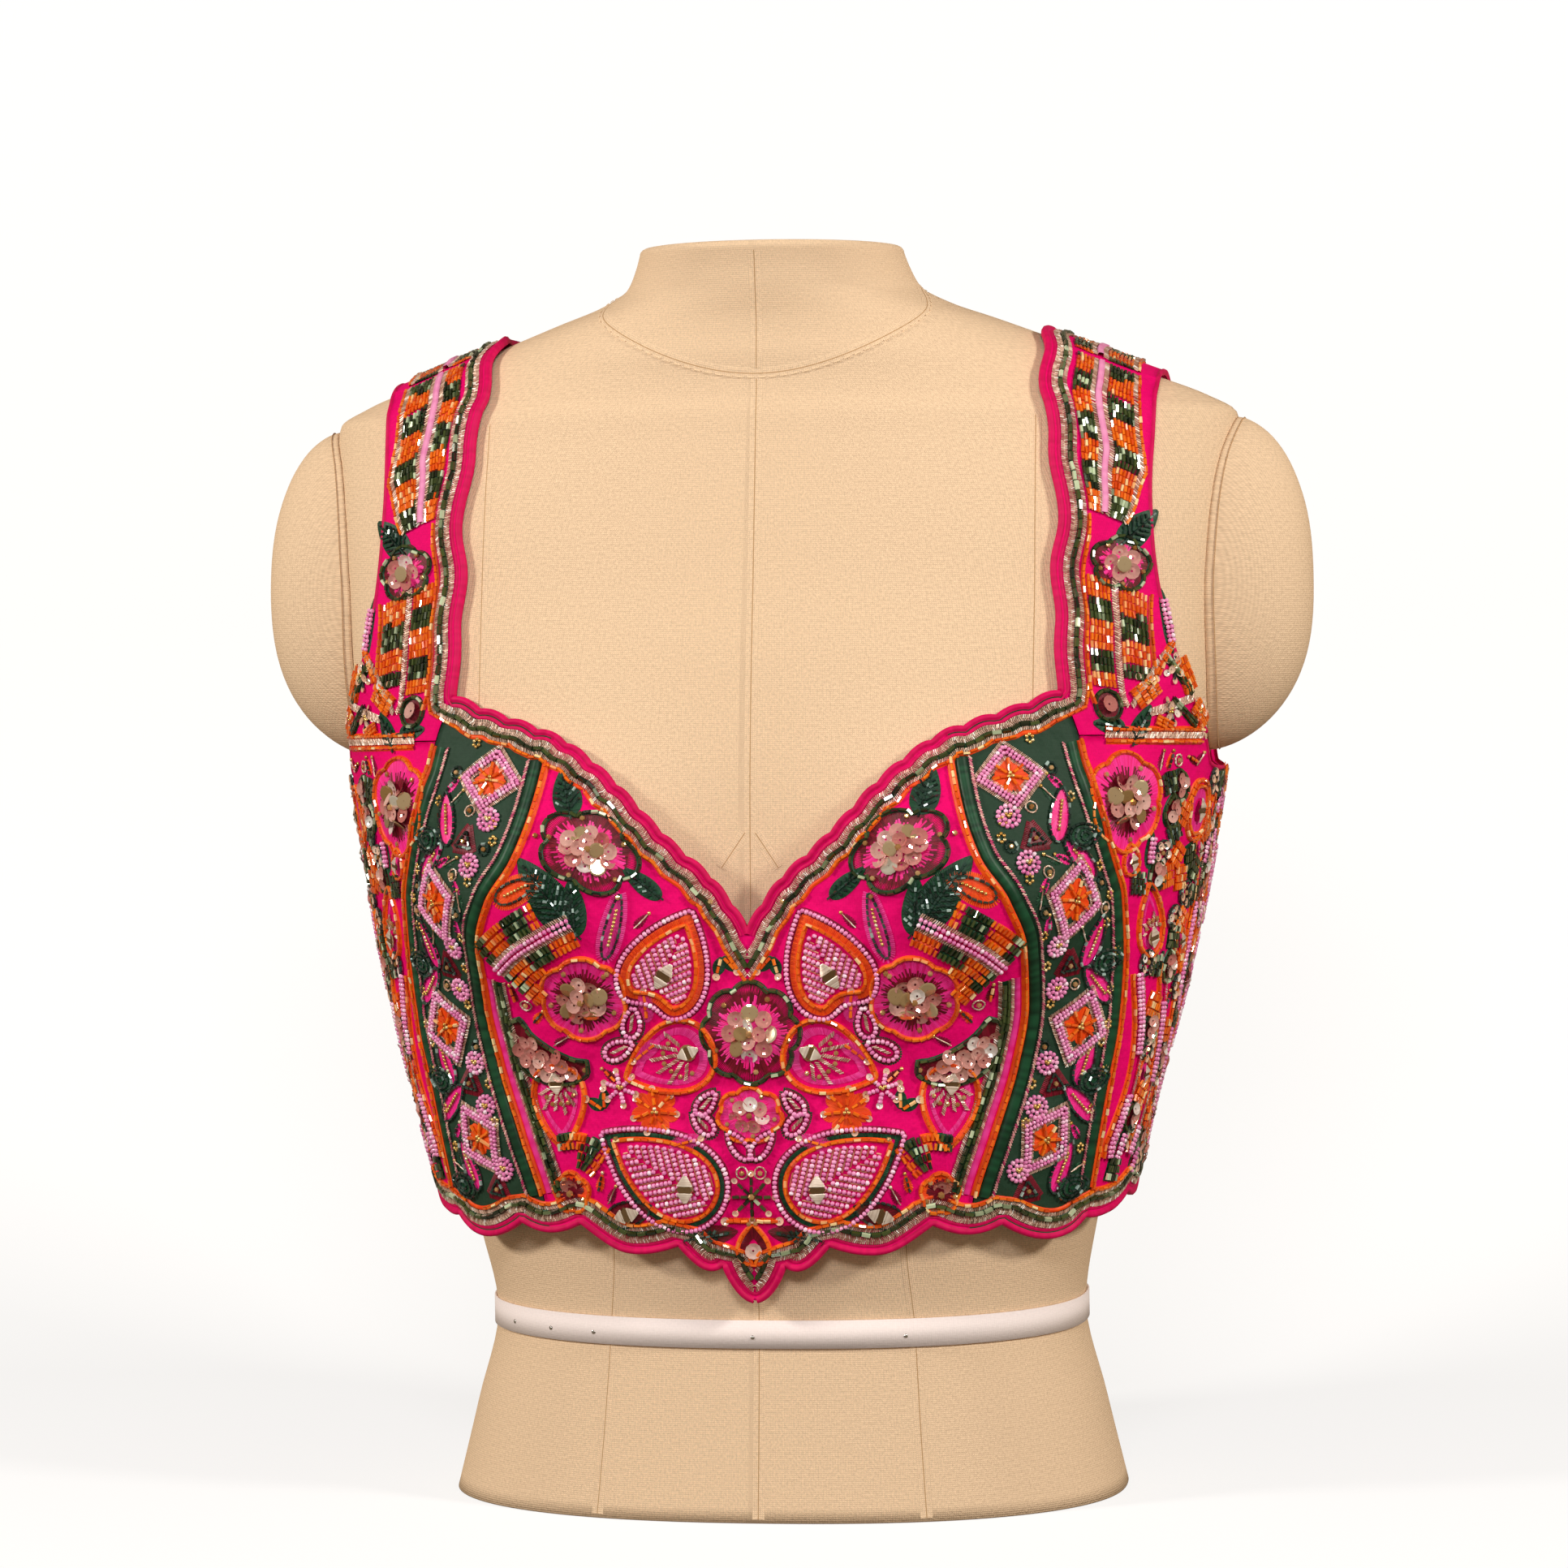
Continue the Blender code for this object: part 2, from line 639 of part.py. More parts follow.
def form_shoulder(name, side):
    """The rounded end of a shoulder, a stuffed plate that lies on the form's side."""
    bm = bmesh.new()
    spokes = np.linspace(0, 2 * math.pi, CAP_SPOKES, endpoint=False)
    reach = np.sin(np.linspace(1, 1 / CAP_RINGS, CAP_RINGS) * math.pi / 2)

    def ring(share, bulging):
        y = AXIS_Y + CAP_SET_BACK + share * CAP_HALF_DEPTH * np.cos(spokes)
        z = CAP_HEIGHT + share * CAP_HALF_HEIGHT * np.sin(spokes)
        x = form_side(y, z) + CAP_GAP
        if bulging:
            dome = (1 - share**2.4) ** 0.6
            x = x + CAP_BULGE * dome * (1 - CAP_LOWER_FULLNESS * share * np.sin(spokes))
        return [bm.verts.new((side * a, b, c)) for a, b, c in zip(x, y, z)]

    rim = ring(reach[0], False)
    for bulging in (False, True):
        loops = [rim] + [ring(share, bulging) for share in reach[1:]]
        for outer_loop, inner_loop in zip(loops, loops[1:]):
            for j in range(CAP_SPOKES):
                k = (j + 1) % CAP_SPOKES
                bm.faces.new((outer_loop[j], outer_loop[k], inner_loop[k], inner_loop[j]))
        bm.faces.new(loops[-1])
    return finish_object(name, bm, "linen")


def waist_tape():
    """The tape pinned round the form's waist."""
    angles = np.linspace(0, 2 * math.pi, TAPE_SIDES, endpoint=False)
    angles = (angles + math.pi) % (2 * math.pi) - math.pi
    bm = bmesh.new()
    loops = []
    for thickness, level in ((0, -0.5), (0, 0.5), (1, 0.5), (1, -0.5)):
        height = np.full_like(angles, TAPE_HEIGHT + level * TAPE_WIDTH)
        skin = on_surface(form_radius, angles, height)
        away = normals(form_radius, skin)
        away[:, 2] = 0.0
        skin = skin + away * (TAPE_GAP + thickness * TAPE_THICKNESS)
        loops.append([bm.verts.new(p) for p in skin])
    for lower, upper in zip(loops, loops[1:] + loops[:1]):
        for j in range(TAPE_SIDES):
            k = (j + 1) % TAPE_SIDES
            bm.faces.new((lower[j], lower[k], upper[k], upper[j]))
    return finish_object("waist_tape", bm, "tape")


def main():
    """Clears the scene and builds every piece."""
    for thing in list(bpy.data.objects):
        bpy.data.objects.remove(thing)
    form_torso()
    for name, side in (("left", 1.0), ("right", -1.0)):
        form_shoulder("form_shoulder_" + name, side)
        front_band("front_band_" + name, side)
        side_front("side_front_" + name, side)
        strap("strap_" + name, side)
        back("back_" + name, side)
    waist_tape()
    centre_front()
    placket()


main()
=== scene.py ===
"""Looks of the embroidered choli blouse on its limbless dress form.

The sizes of the form, cloth and seams are those of the part's source, so that cloth,
seams and beadwork lie on the same shapes. Lengths are in metres, front towards -Y.
"""
import json
import math

import bpy
import numpy as np
from mathutils import Matrix, Vector

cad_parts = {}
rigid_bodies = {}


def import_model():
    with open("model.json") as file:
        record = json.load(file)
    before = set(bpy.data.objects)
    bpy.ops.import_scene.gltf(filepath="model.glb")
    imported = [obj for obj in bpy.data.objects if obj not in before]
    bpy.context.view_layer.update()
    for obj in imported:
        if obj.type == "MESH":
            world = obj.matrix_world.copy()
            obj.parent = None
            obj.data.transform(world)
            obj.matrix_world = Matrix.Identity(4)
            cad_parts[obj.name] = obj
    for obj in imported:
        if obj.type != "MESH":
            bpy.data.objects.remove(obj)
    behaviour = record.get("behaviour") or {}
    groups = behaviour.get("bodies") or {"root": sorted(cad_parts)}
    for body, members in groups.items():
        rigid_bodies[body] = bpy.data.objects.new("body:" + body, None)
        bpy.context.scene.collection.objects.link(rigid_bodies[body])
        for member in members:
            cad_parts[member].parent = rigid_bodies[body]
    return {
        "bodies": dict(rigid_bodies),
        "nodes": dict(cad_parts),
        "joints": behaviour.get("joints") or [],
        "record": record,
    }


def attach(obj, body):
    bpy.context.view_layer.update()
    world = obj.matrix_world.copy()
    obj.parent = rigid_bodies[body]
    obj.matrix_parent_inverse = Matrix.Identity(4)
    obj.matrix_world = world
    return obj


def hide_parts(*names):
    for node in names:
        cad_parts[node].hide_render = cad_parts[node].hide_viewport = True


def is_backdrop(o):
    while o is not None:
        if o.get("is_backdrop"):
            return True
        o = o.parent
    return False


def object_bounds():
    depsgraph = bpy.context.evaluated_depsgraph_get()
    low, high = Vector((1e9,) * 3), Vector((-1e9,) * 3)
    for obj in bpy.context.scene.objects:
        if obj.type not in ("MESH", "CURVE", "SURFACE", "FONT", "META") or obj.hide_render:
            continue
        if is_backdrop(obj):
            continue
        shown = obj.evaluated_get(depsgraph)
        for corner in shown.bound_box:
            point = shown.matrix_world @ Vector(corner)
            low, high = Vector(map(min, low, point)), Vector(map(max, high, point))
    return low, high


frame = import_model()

bl_info = {
    "name": "Embroidered choli blouse",
    "version": (1, 0, 0),
    "blender": (4, 5, 0),
    "location": "View3D > Sidebar > Choli",
    "description": "Dress form, cloth panels, beadwork and stage of a choli blouse",
    "category": "Object",
}

AXIS_Y = 0.00655
CLOTH_WALL = 0.0020
SEAM_GAP = 0.0004
SHOULDER_LIFT = 0.0011
FORM_HEIGHT = 0.4925
NECK_EDGE = 0.0025
RAISED_SHARE = 0.45

FORM_SECTIONS = np.array((
    # height, half_width, front, back, squareness, set_back
    (0.0000, 0.1345, 0.098, 0.104, 2.30, 0.000),
    (0.0350, 0.1260, 0.095, 0.093, 2.30, 0.002),
    (0.0710, 0.1180, 0.093, 0.082, 2.30, 0.004),
    (0.1030, 0.1230, 0.088, 0.091, 2.30, -0.004),
    (0.1500, 0.1360, 0.087, 0.101, 2.30, -0.010),
    (0.2000, 0.1510, 0.096, 0.099, 2.35, -0.002),
    (0.2400, 0.1600, 0.104, 0.094, 2.45, 0.007),
    (0.2850, 0.1680, 0.109, 0.092, 2.70, 0.014),
    (0.3250, 0.1735, 0.106, 0.088, 2.95, 0.017),
    (0.3650, 0.1780, 0.099, 0.083, 2.90, 0.019),
    (0.3950, 0.1815, 0.092, 0.078, 2.60, 0.018),
    (0.4150, 0.1830, 0.086, 0.074, 2.25, 0.016),
    (0.4260, 0.1810, 0.081, 0.072, 2.10, 0.013),
    (0.4330, 0.1690, 0.075, 0.072, 2.00, 0.009),
    (0.4410, 0.1480, 0.069, 0.071, 2.00, 0.004),
    (0.4490, 0.1270, 0.065, 0.068, 2.00, 0.000),
    (0.4570, 0.1060, 0.060, 0.066, 2.00, -0.004),
    (0.4640, 0.0870, 0.057, 0.062, 2.00, -0.007),
    (0.4700, 0.0700, 0.055, 0.059, 2.00, -0.010),
    (0.4760, 0.0590, 0.053, 0.056, 2.00, -0.013),
    (0.4840, 0.0545, 0.051, 0.053, 2.00, -0.016),
    (0.4925, 0.0515, 0.050, 0.051, 2.00, -0.019),
))
BUST_ANGLE = math.radians(38)
BUST_HEIGHT = 0.238
BUST_RISE = 0.028
BUST_SPREAD = math.radians(20)
BUST_ABOVE = 0.052
BUST_BELOW = 0.036
EASE_ANGLES = (0.0, 40.0, 90.0, 180.0)
EASE = np.array((
    # height, centre_front, bust, side, centre_back
    (0.075, 0.0060, 0.0080, 0.0130, 0.0080),
    (0.110, 0.0068, 0.0085, 0.0110, 0.0070),
    (0.150, 0.0070, 0.0075, 0.0075, 0.0050),
    (0.195, 0.0075, 0.0050, 0.0060, 0.0030),
    (0.236, 0.0080, 0.0010, 0.0055, 0.0018),
    (0.285, 0.0060, 0.0014, 0.0050, 0.0012),
    (0.320, 0.0025, 0.0012, 0.0030, 0.0010),
    (0.360, 0.0010, 0.0009, 0.0010, 0.0009),
    (0.4925, 0.0008, 0.0008, 0.0008, 0.0008),
))
BAND_SEAMS = np.array((
    # height, inner_seam, outer_seam
    (0.085, 0.0770, 0.1180),
    (0.122, 0.0820, 0.1235),
    (0.149, 0.0905, 0.1285),
    (0.175, 0.0985, 0.1335),
    (0.200, 0.1030, 0.1375),
    (0.222, 0.1035, 0.1388),
    (0.239, 0.0983, 0.1385),
    (0.254, 0.0885, 0.1355),
    (0.273, 0.0814, 0.1305),
    (0.291, 0.0774, 0.1258),
    (0.300, 0.0760, 0.1238),
    (0.317, 0.0740, 0.1176),
))
SIDE_SEAM = math.radians(95)
STRAP_BASE = 0.300
CORNER_HEIGHT = 0.3168
NECKLINE = np.array((
    # out, height
    (0.0000, 0.2271),
    (0.0074, 0.2385),
    (0.0150, 0.2480),
    (0.0257, 0.2573),
    (0.0383, 0.2697),
    (0.0497, 0.2818),
    (0.0623, 0.2927),
    (0.0734, 0.3001),
    (0.0845, 0.3045),
    (0.1040, 0.3112),
    (0.1176, 0.3168),
))
NECK_SCALLOP = 0.0130
NECK_SCALLOP_DEPTH = 0.0018
HEM = np.array((
    # angle, height
    (0.0, 0.1000),
    (7.0, 0.1010),
    (17.0, 0.1085),
    (28.0, 0.1100),
    (40.0, 0.1165),
    (51.0, 0.1155),
    (64.0, 0.1135),
    (75.0, 0.1200),
    (95.0, 0.1240),
    (180.0, 0.1240),
))
HEM_LOBES = (
    # from_angle, to_angle, drop
    (-7.0, 7.0, 0.0140),
    (7.0, 17.0, 0.0050),
    (17.0, 38.0, 0.0050),
    (38.0, 51.0, 0.0045),
    (51.0, 68.0, 0.0060),
    (68.0, 81.5, 0.0045),
    (81.5, 95.0, 0.0045),
    (95.0, 109.5, 0.0045),
    (109.5, 124.0, 0.0045),
    (124.0, 138.0, 0.0045),
    (138.0, 152.0, 0.0045),
    (152.0, 166.0, 0.0045),
    (166.0, 180.0, 0.0045),
)
SIDE_FRONT_TOP = np.array((
    # angle, height
    (55.0, 0.3000),
    (73.6, 0.3000),
    (77.5, 0.2878),
    (82.0, 0.2855),
    (95.0, 0.2848),
))
BACK_TOP = np.array((
    # angle, height
    (95.0, 0.2848),
    (101.5, 0.2866),
    (106.0, 0.3000),
    (132.0, 0.3000),
    (135.5, 0.2900),
    (143.0, 0.2640),
    (156.0, 0.2420),
    (168.0, 0.2340),
    (180.0, 0.2320),
))
SHOULDER_AXIS_Y = 0.004
STRAP = np.array((
    # along, inner_edge, outer_edge
    (0.000, 0.1238, 0.1690),
    (0.045, 0.1176, 0.1655),
    (0.080, 0.1166, 0.1620),
    (0.130, 0.1153, 0.1565),
    (0.190, 0.1162, 0.1520),
    (0.230, 0.1165, 0.1505),
    (0.280, 0.1127, 0.1498),
    (0.340, 0.1100, 0.1505),
    (0.430, 0.1085, 0.1520),
    (0.500, 0.1082, 0.1530),
    (0.600, 0.1075, 0.1530),
    (0.750, 0.1055, 0.1540),
    (0.900, 0.1045, 0.1610),
    (1.000, 0.1035, 0.1685),
))
STRAP_WAVES = 11
STRAP_WAVE_DEPTH = 0.0011
RAISED = (
    # out, height, half_width, half_height, tilt, rise
    (0.0000, 0.1891, 0.0185, 0.0185, 0.0, 0.0026),
    (0.0299, 0.2161, 0.0165, 0.0225, -20.0, 0.0016),
    (0.0313, 0.1352, 0.0240, 0.0170, -30.0, 0.0018),
    (0.0595, 0.2583, 0.0185, 0.0160, 20.0, 0.0026),
    (0.0632, 0.2029, 0.0170, 0.0170, 0.0, 0.0024),
    (0.0775, 0.1827, 0.0170, 0.0110, -25.0, 0.0026),
    (0.0000, 0.1577, 0.0125, 0.0115, 0.0, 0.0018),
    (0.0858, 0.2177, 0.0170, 0.0170, 0.0, 0.0015),
    (0.0983, 0.2847, 0.0120, 0.0120, 0.0, 0.0012),
    (0.1181, 0.2386, 0.0120, 0.0150, 0.0, 0.0012),
    (0.1243, 0.1864, 0.0110, 0.0150, 0.0, 0.0012),
    (0.1092, 0.1472, 0.0110, 0.0130, 0.0, 0.0012),
    (0.1386, 0.2788, 0.0140, 0.0170, 0.0, 0.0024),
)
RAISED_EDGE = 0.35
CAP_HEIGHT = 0.3580
CAP_HALF_HEIGHT = 0.0660
CAP_HALF_DEPTH = 0.0400
CAP_SET_BACK = 0.0110
CAP_BULGE = 0.0335
CAP_LOWER_FULLNESS = 0.22
CAP_GAP = 0.0003
TAPE_HEIGHT = 0.0715
TAPE_WIDTH = 0.0108
TAPE_THICKNESS = 0.0008
TAPE_GAP = 0.0003
PLACKET_WIDTH = 0.016
PLACKET_THICKNESS = 0.0015
PLACKET_GAP = 0.0003
PLACKET_END_GAP = 0.0060

RANDOM = np.random.default_rng(7)
FINE_TABLES = {}
OUTLINE_POINTS = 160
SATIN_PITCH = 0.0007


def table(rows, column, at):
    """A column of a table, read at values of its first column without overshoot."""
    key = (id(rows), column)
    if key not in FINE_TABLES:
        fine = np.linspace(rows[0, 0], rows[-1, 0], 3000)
        FINE_TABLES[key] = (rows, fine, smooth_column(rows, column, fine))
    _, fine, values = FINE_TABLES[key]
    return np.interp(at, fine, values)


def smooth_column(rows, column, at):
    """A smooth curve through a column of a table, which never overshoots its rows."""
    xs = rows[:, 0]
    ys = rows[:, column]
    steps = np.diff(xs)
    rates = np.diff(ys) / steps
    slopes = np.zeros(len(xs))
    same_way = rates[:-1] * rates[1:] > 0
    weight_a = 2 * steps[1:] + steps[:-1]
    weight_b = steps[1:] + 2 * steps[:-1]
    safe_a = np.where(same_way, rates[:-1], 1.0)
    safe_b = np.where(same_way, rates[1:], 1.0)
    middle = (weight_a + weight_b) / (weight_a / safe_a + weight_b / safe_b)
    slopes[1:-1] = np.where(same_way, middle, 0.0)
    slopes[0] = rates[0]
    slopes[-1] = rates[-1]
    left = np.clip(np.searchsorted(xs, at, side="right") - 1, 0, len(xs) - 2)
    step = steps[left]
    t = (at - xs[left]) / step
    start = (1 + 2 * t) * (1 - t) ** 2 * ys[left] + t * (1 - t) ** 2 * step * slopes[left]
    end = t**2 * (3 - 2 * t) * ys[left + 1] + t**2 * (t - 1) * step * slopes[left + 1]
    return start + end


def form_radius(angle, height):
    """How far the form's skin is from its section's centre, angle 0 at the front."""
    half_width, front, back, power = (table(FORM_SECTIONS, i, height) for i in (1, 2, 3, 4))
    depth = np.where(np.cos(angle) > 0, front, back)
    across = np.abs(np.sin(angle) / half_width) ** power
    along = np.abs(np.cos(angle) / depth) ** power
    radius = (across + along) ** (-1 / power)
    rise = np.where(height > BUST_HEIGHT, BUST_ABOVE, BUST_BELOW)
    by_height = np.exp(-(((height - BUST_HEIGHT) / rise) ** 2))
    by_angle = np.exp(-(((np.abs(angle) - BUST_ANGLE) / BUST_SPREAD) ** 2))
    return radius + BUST_RISE * by_height * by_angle


def ease(angle, height):
    """Room between form and cloth."""
    turn = np.clip(np.abs(np.degrees(angle)), 0, 180)
    columns = [table(EASE, i + 1, height) for i in range(len(EASE_ANGLES))]
    room = np.zeros(np.broadcast(turn, height).shape)
    for i in range(len(EASE_ANGLES) - 1):
        low, high = EASE_ANGLES[i], EASE_ANGLES[i + 1]
        t = np.clip((turn - low) / (high - low), 0, 1)
        blend = t * t * (3 - 2 * t)
        here = (turn >= low) & ((turn < high) | (high == EASE_ANGLES[-1]))
        room = np.where(here, columns[i] * (1 - blend) + columns[i + 1] * blend, room)
    return room


def cloth_radius(angle, height):
    """How far the inside of the cloth is from its section's centre."""
    return form_radius(angle, height - SHOULDER_LIFT) + ease(angle, height)


def on_surface(radius_of, angle, height):
    """Points at these angles and heights on the form or on the inside of the cloth."""
    radius = radius_of(angle, height)
    y = AXIS_Y + table(FORM_SECTIONS, 5, height) - radius * np.cos(angle)
    return np.stack(np.broadcast_arrays(radius * np.sin(angle), y, height), axis=-1)


def outside(radius_of, points):
    """How far points lie outside a surface, measured away from the axis."""
    x = points[..., 0]
    y = points[..., 1] - AXIS_Y - table(FORM_SECTIONS, 5, points[..., 2])
    return np.hypot(x, y) - radius_of(np.arctan2(x, -y), points[..., 2])


def slope(radius_of, points):
    """The surface's gradient at these points."""
    step = 0.0004
    rises = [
        outside(radius_of, points + axis) - outside(radius_of, points - axis)
        for axis in np.eye(3) * step
    ]
    return np.stack(rises, axis=-1) / (2 * step)


def unit(vectors):
    """Vectors scaled to length one."""
    return vectors / np.maximum(np.linalg.norm(vectors, axis=-1, keepdims=True), 1e-12)


def normals(points, radius_of=cloth_radius):
    """Outward directions of the surface at these points."""
    return unit(slope(radius_of, points))


def settled(points, radius_of=cloth_radius):
    """Points near the surface, moved straight onto it."""
    for _ in range(3):
        gradient = slope(radius_of, points)
        size = (gradient**2).sum(-1, keepdims=True)
        points = points - gradient * outside(radius_of, points)[..., None] / size
    return points


def angle_at(out, height):
    """The angle round the body where the cloth is this far out from the centre front."""
    out = np.asarray(out, float)
    low = np.zeros(np.broadcast(out, height).shape)
    high = np.full(low.shape, math.radians(90))
    for _ in range(30):
        middle = (low + high) / 2
        short = cloth_radius(middle, height) * np.sin(middle) < np.abs(out)
        low = np.where(short, middle, low)
        high = np.where(short, high, middle)
    return np.sign(out) * (low + high) / 2


def over_shoulder(out, turn):
    """Cloth points on rays that turn from straight ahead, over the shoulder, to the back."""
    near = np.zeros(np.broadcast(out, turn).shape)
    far = near + 0.25
    out = out + near
    turn = turn + near

    def along_ray(distance):
        y = AXIS_Y + SHOULDER_AXIS_Y - distance * np.cos(turn)
        return np.stack((out, y, STRAP_BASE + distance * np.sin(turn)), axis=-1)

    for _ in range(34):
        middle = (near + far) / 2
        inside = outside(cloth_radius, along_ray(middle)) < 0
        near = np.where(inside, middle, near)
        far = np.where(inside, far, middle)
    return along_ray((near + far) / 2)


def hem_height(angle):
    """The hem, with its hanging lobes."""
    turn = np.abs(np.degrees(angle))
    height = table(HEM, 1, turn)
    for start, end, drop in HEM_LOBES:
        t = np.clip((turn - start) / (end - start), 0, 1)
        height = height - drop * np.sin(math.pi * t) ** 0.8
    return height


def neckline_height(out):
    """The front neckline, with its scallops standing up."""
    out = np.abs(out)
    fine = np.linspace(NECKLINE[0, 0], NECKLINE[-1, 0], 300)
    runs = np.hypot(np.diff(fine), np.diff(table(NECKLINE, 1, fine)))
    length = np.concatenate(([0.0], np.cumsum(runs)))
    run = np.interp(out, fine, length)
    count = round(float(length[-1] / NECK_SCALLOP))
    wave = np.abs(np.sin(math.pi * count * run / length[-1])) ** 0.8
    return table(NECKLINE, 1, out) + NECK_SCALLOP_DEPTH * (wave - 0.5)


def raised_height(points):
    """How far the padded motifs stand up at these points of the front."""
    out = np.abs(points[..., 0])
    height = points[..., 2]
    rise = np.zeros(out.shape)
    for centre, level, half_width, half_height, tilt, top in RAISED:
        lean = math.radians(tilt)
        du = (out - centre) * math.cos(lean) + (height - level) * math.sin(lean)
        dv = (height - level) * math.cos(lean) - (out - centre) * math.sin(lean)
        reach = np.hypot(du / half_width, dv / half_height)
        t = np.clip((1 + RAISED_EDGE / 2 - reach) / RAISED_EDGE, 0, 1)
        rise = np.maximum(rise, top * t * t * (3 - 2 * t))
    return RAISED_SHARE * np.where(points[..., 1] < AXIS_Y, rise, 0.0)


def wall_top(points):
    """How far the face of the cloth is above its inside at these points."""
    return CLOTH_WALL + raised_height(points)


# Meshes made of many small shapes


class Heap:
    """Points, faces, tints and map places gathered for one object."""

    def __init__(self):
        self.points = []
        self.faces = []
        self.tints = []
        self.places = []
        self.count = 0

    def add(self, points, faces, tints=None, places=None):
        """Adds a shape whose faces count from its own first point."""
        points = np.asarray(points, float).reshape(-1, 3)
        self.faces += (np.asarray(faces) + self.count).tolist()
        self.points.append(points)
        self.tints.append(np.zeros(len(points)) if tints is None else np.ravel(tints))
        if places is None:
            places = np.zeros((len(points), 2))
        self.places.append(np.asarray(places, float).reshape(-1, 2))
        self.count += len(points)

    def build(self, name, material, smooth=True, slot=None, stands_for=()):
        """Makes the object, lets it ride on the part and returns it."""
        mesh = bpy.data.meshes.new(name)
        mesh.from_pydata(np.concatenate(self.points).tolist(), [], self.faces)
        mesh.polygons.foreach_set("use_smooth", np.full(len(mesh.polygons), smooth))
        tint = mesh.attributes.new("tint", "FLOAT", "POINT")
        tint.data.foreach_set("value", np.concatenate(self.tints))
        corners = np.zeros(len(mesh.loops), int)
        mesh.loops.foreach_get("vertex_index", corners)
        layer = mesh.uv_layers.new(name="cloth_map")
        layer.data.foreach_set("uv", np.concatenate(self.places)[corners].ravel())
        mesh.materials.append(material)
        mesh.update()
        thing = bpy.data.objects.new(name, mesh)
        bpy.context.scene.collection.objects.link(thing)
        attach(thing, "root")
        if stands_for:
            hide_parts(*stands_for)
        return thing


def grid_faces(rows, columns, across=False, along=False):
    """Quads of a grid of points, closed across or along where asked."""
    i, j = np.meshgrid(
        np.arange(rows if along else rows - 1),
        np.arange(columns if across else columns - 1),
        indexing="ij",
    )
    k = (i + 1) % rows
    m = (j + 1) % columns
    quads = (i * columns + j, i * columns + m, k * columns + m, k * columns + j)
    return np.stack(quads, axis=-1).reshape(-1, 4)


def turned(count, start=0.0):
    """Even turns round a circle."""
    return start + np.linspace(0, 2 * math.pi, count, endpoint=False)


def spun(profile, sides, lengthwise):
    """A shape turned round its Z axis, or lengthwise an arch over its X axis, open below."""
    turns = turned(sides)
    if lengthwise:
        turns = np.linspace(-0.12 * math.pi, 1.12 * math.pi, sides)
    places, radii = np.array(profile).T
    a = radii[:, None] * np.cos(turns)
    b = radii[:, None] * np.sin(turns)
    c = places[:, None] + 0 * turns
    points = np.stack((c, a, b) if lengthwise else (a, b, c), axis=-1)
    return points.reshape(-1, 3), grid_faces(len(profile), sides, across=not lengthwise)


BEAD = spun(((-0.5, 0.10), (-0.27, 0.48), (0.27, 0.48), (0.5, 0.10)), 5, True)
BUGLE = spun(((-0.5, 0.06), (-0.47, 0.5), (0.47, 0.5), (0.5, 0.06)), 4, True)
LOOP = spun(((-0.5, 0.36), (0.5, 0.36)), 3, True)
SEQUIN = spun(((0.02, 0.07), (0.0, 0.24), (0.05, 0.34), (0.16, 0.5)), 11, False)
DISC = spun(((0.10, 0.02), (0.09, 0.40), (0.02, 0.5)), 12, False)
STONE = spun(((0.0, 0.5), (0.5, 0.42), (0.62, 0.2), (0.62, 0.02)), 6, False)
HEXAGON = spun(((0.12, 0.02), (0.12, 0.42), (0.0, 0.5)), 6, False)

# Sizes of what is sewn on: shape, length, width, height, pitch along a row, smooth
KINDS = {
    "bead_lilac": (BEAD, 0.0017, 0.0020, 0.0018, 0.00175, True),
    "bugle_green": (BUGLE, 0.0028, 0.0015, 0.0014, 0.0030, False),
    "bugle_orange": (BUGLE, 0.0027, 0.0014, 0.0013, 0.0029, False),
    "cut_teal": (BUGLE, 0.0019, 0.0012, 0.0012, 0.0021, False),
    "zari_silver": (LOOP, 0.0018, 0.00080, 0.0010, 0.00084, True),
    "cord_pink": (LOOP, 0.0018, 0.0010, 0.0012, 0.0010, True),
    "bead_gold": (BEAD, 0.0015, 0.0015, 0.0013, 0.0016, True),
    "stone_gold": (STONE, 0.0029, 0.0029, 0.0022, 0.0032, False),
    "sequin_rose": (SEQUIN, 0.0068, 0.0068, 0.0056, 0.0060, False),
    "sequin_small": (SEQUIN, 0.0034, 0.0034, 0.0030, 0.0036, False),
    "disc_gold": (DISC, 0.0070, 0.0070, 0.0040, 0.0070, False),
    "mirror": (HEXAGON, 0.0072, 0.0058, 0.0050, 0.0070, False),
}
WORK = {kind: [] for kind in KINDS}
SATIN = {}
GROUNDS = {}


def stitched(kind, places, along, up, size=1.0, both=True):
    """Notes sewn-on pieces by place, direction and up; both adds them on the other side too."""
    places = np.asarray(places, float).reshape(-1, 3)
    count = len(places)
    if not count:
        return
    along = np.broadcast_to(along, (count, 3))
    up = np.broadcast_to(up, (count, 3))
    size = np.broadcast_to(size, (count,))
    for side in (1.0, -1.0) if both else (1.0,):
        flip = np.array((side, 1.0, 1.0))
        WORK[kind].append((places * flip, along * flip, up * flip, size))


def run_lengths(path):
    """Distance along a path at each of its points."""
    steps = np.linalg.norm(np.diff(path, axis=0), axis=1)
    return np.concatenate(([0.0], np.cumsum(steps)))


def spaced(path, pitch, closed=False):
    """Points and directions at even steps along a path."""
    if closed:
        path = np.concatenate((path, path[:1]))
    length = run_lengths(path)
    count = max(int(round(length[-1] / pitch)), 1)
    at = (np.arange(count) + 0.5) * length[-1] / count
    places = np.stack([np.interp(at, length, path[:, i]) for i in range(3)], axis=-1)
    gap = min(pitch * 0.4, length[-1] / 4)
    ahead = np.stack([np.interp(at + gap, length, path[:, i]) for i in range(3)], axis=-1)
    behind = np.stack([np.interp(at - gap, length, path[:, i]) for i in range(3)], axis=-1)
    return places, unit(ahead - behind), at


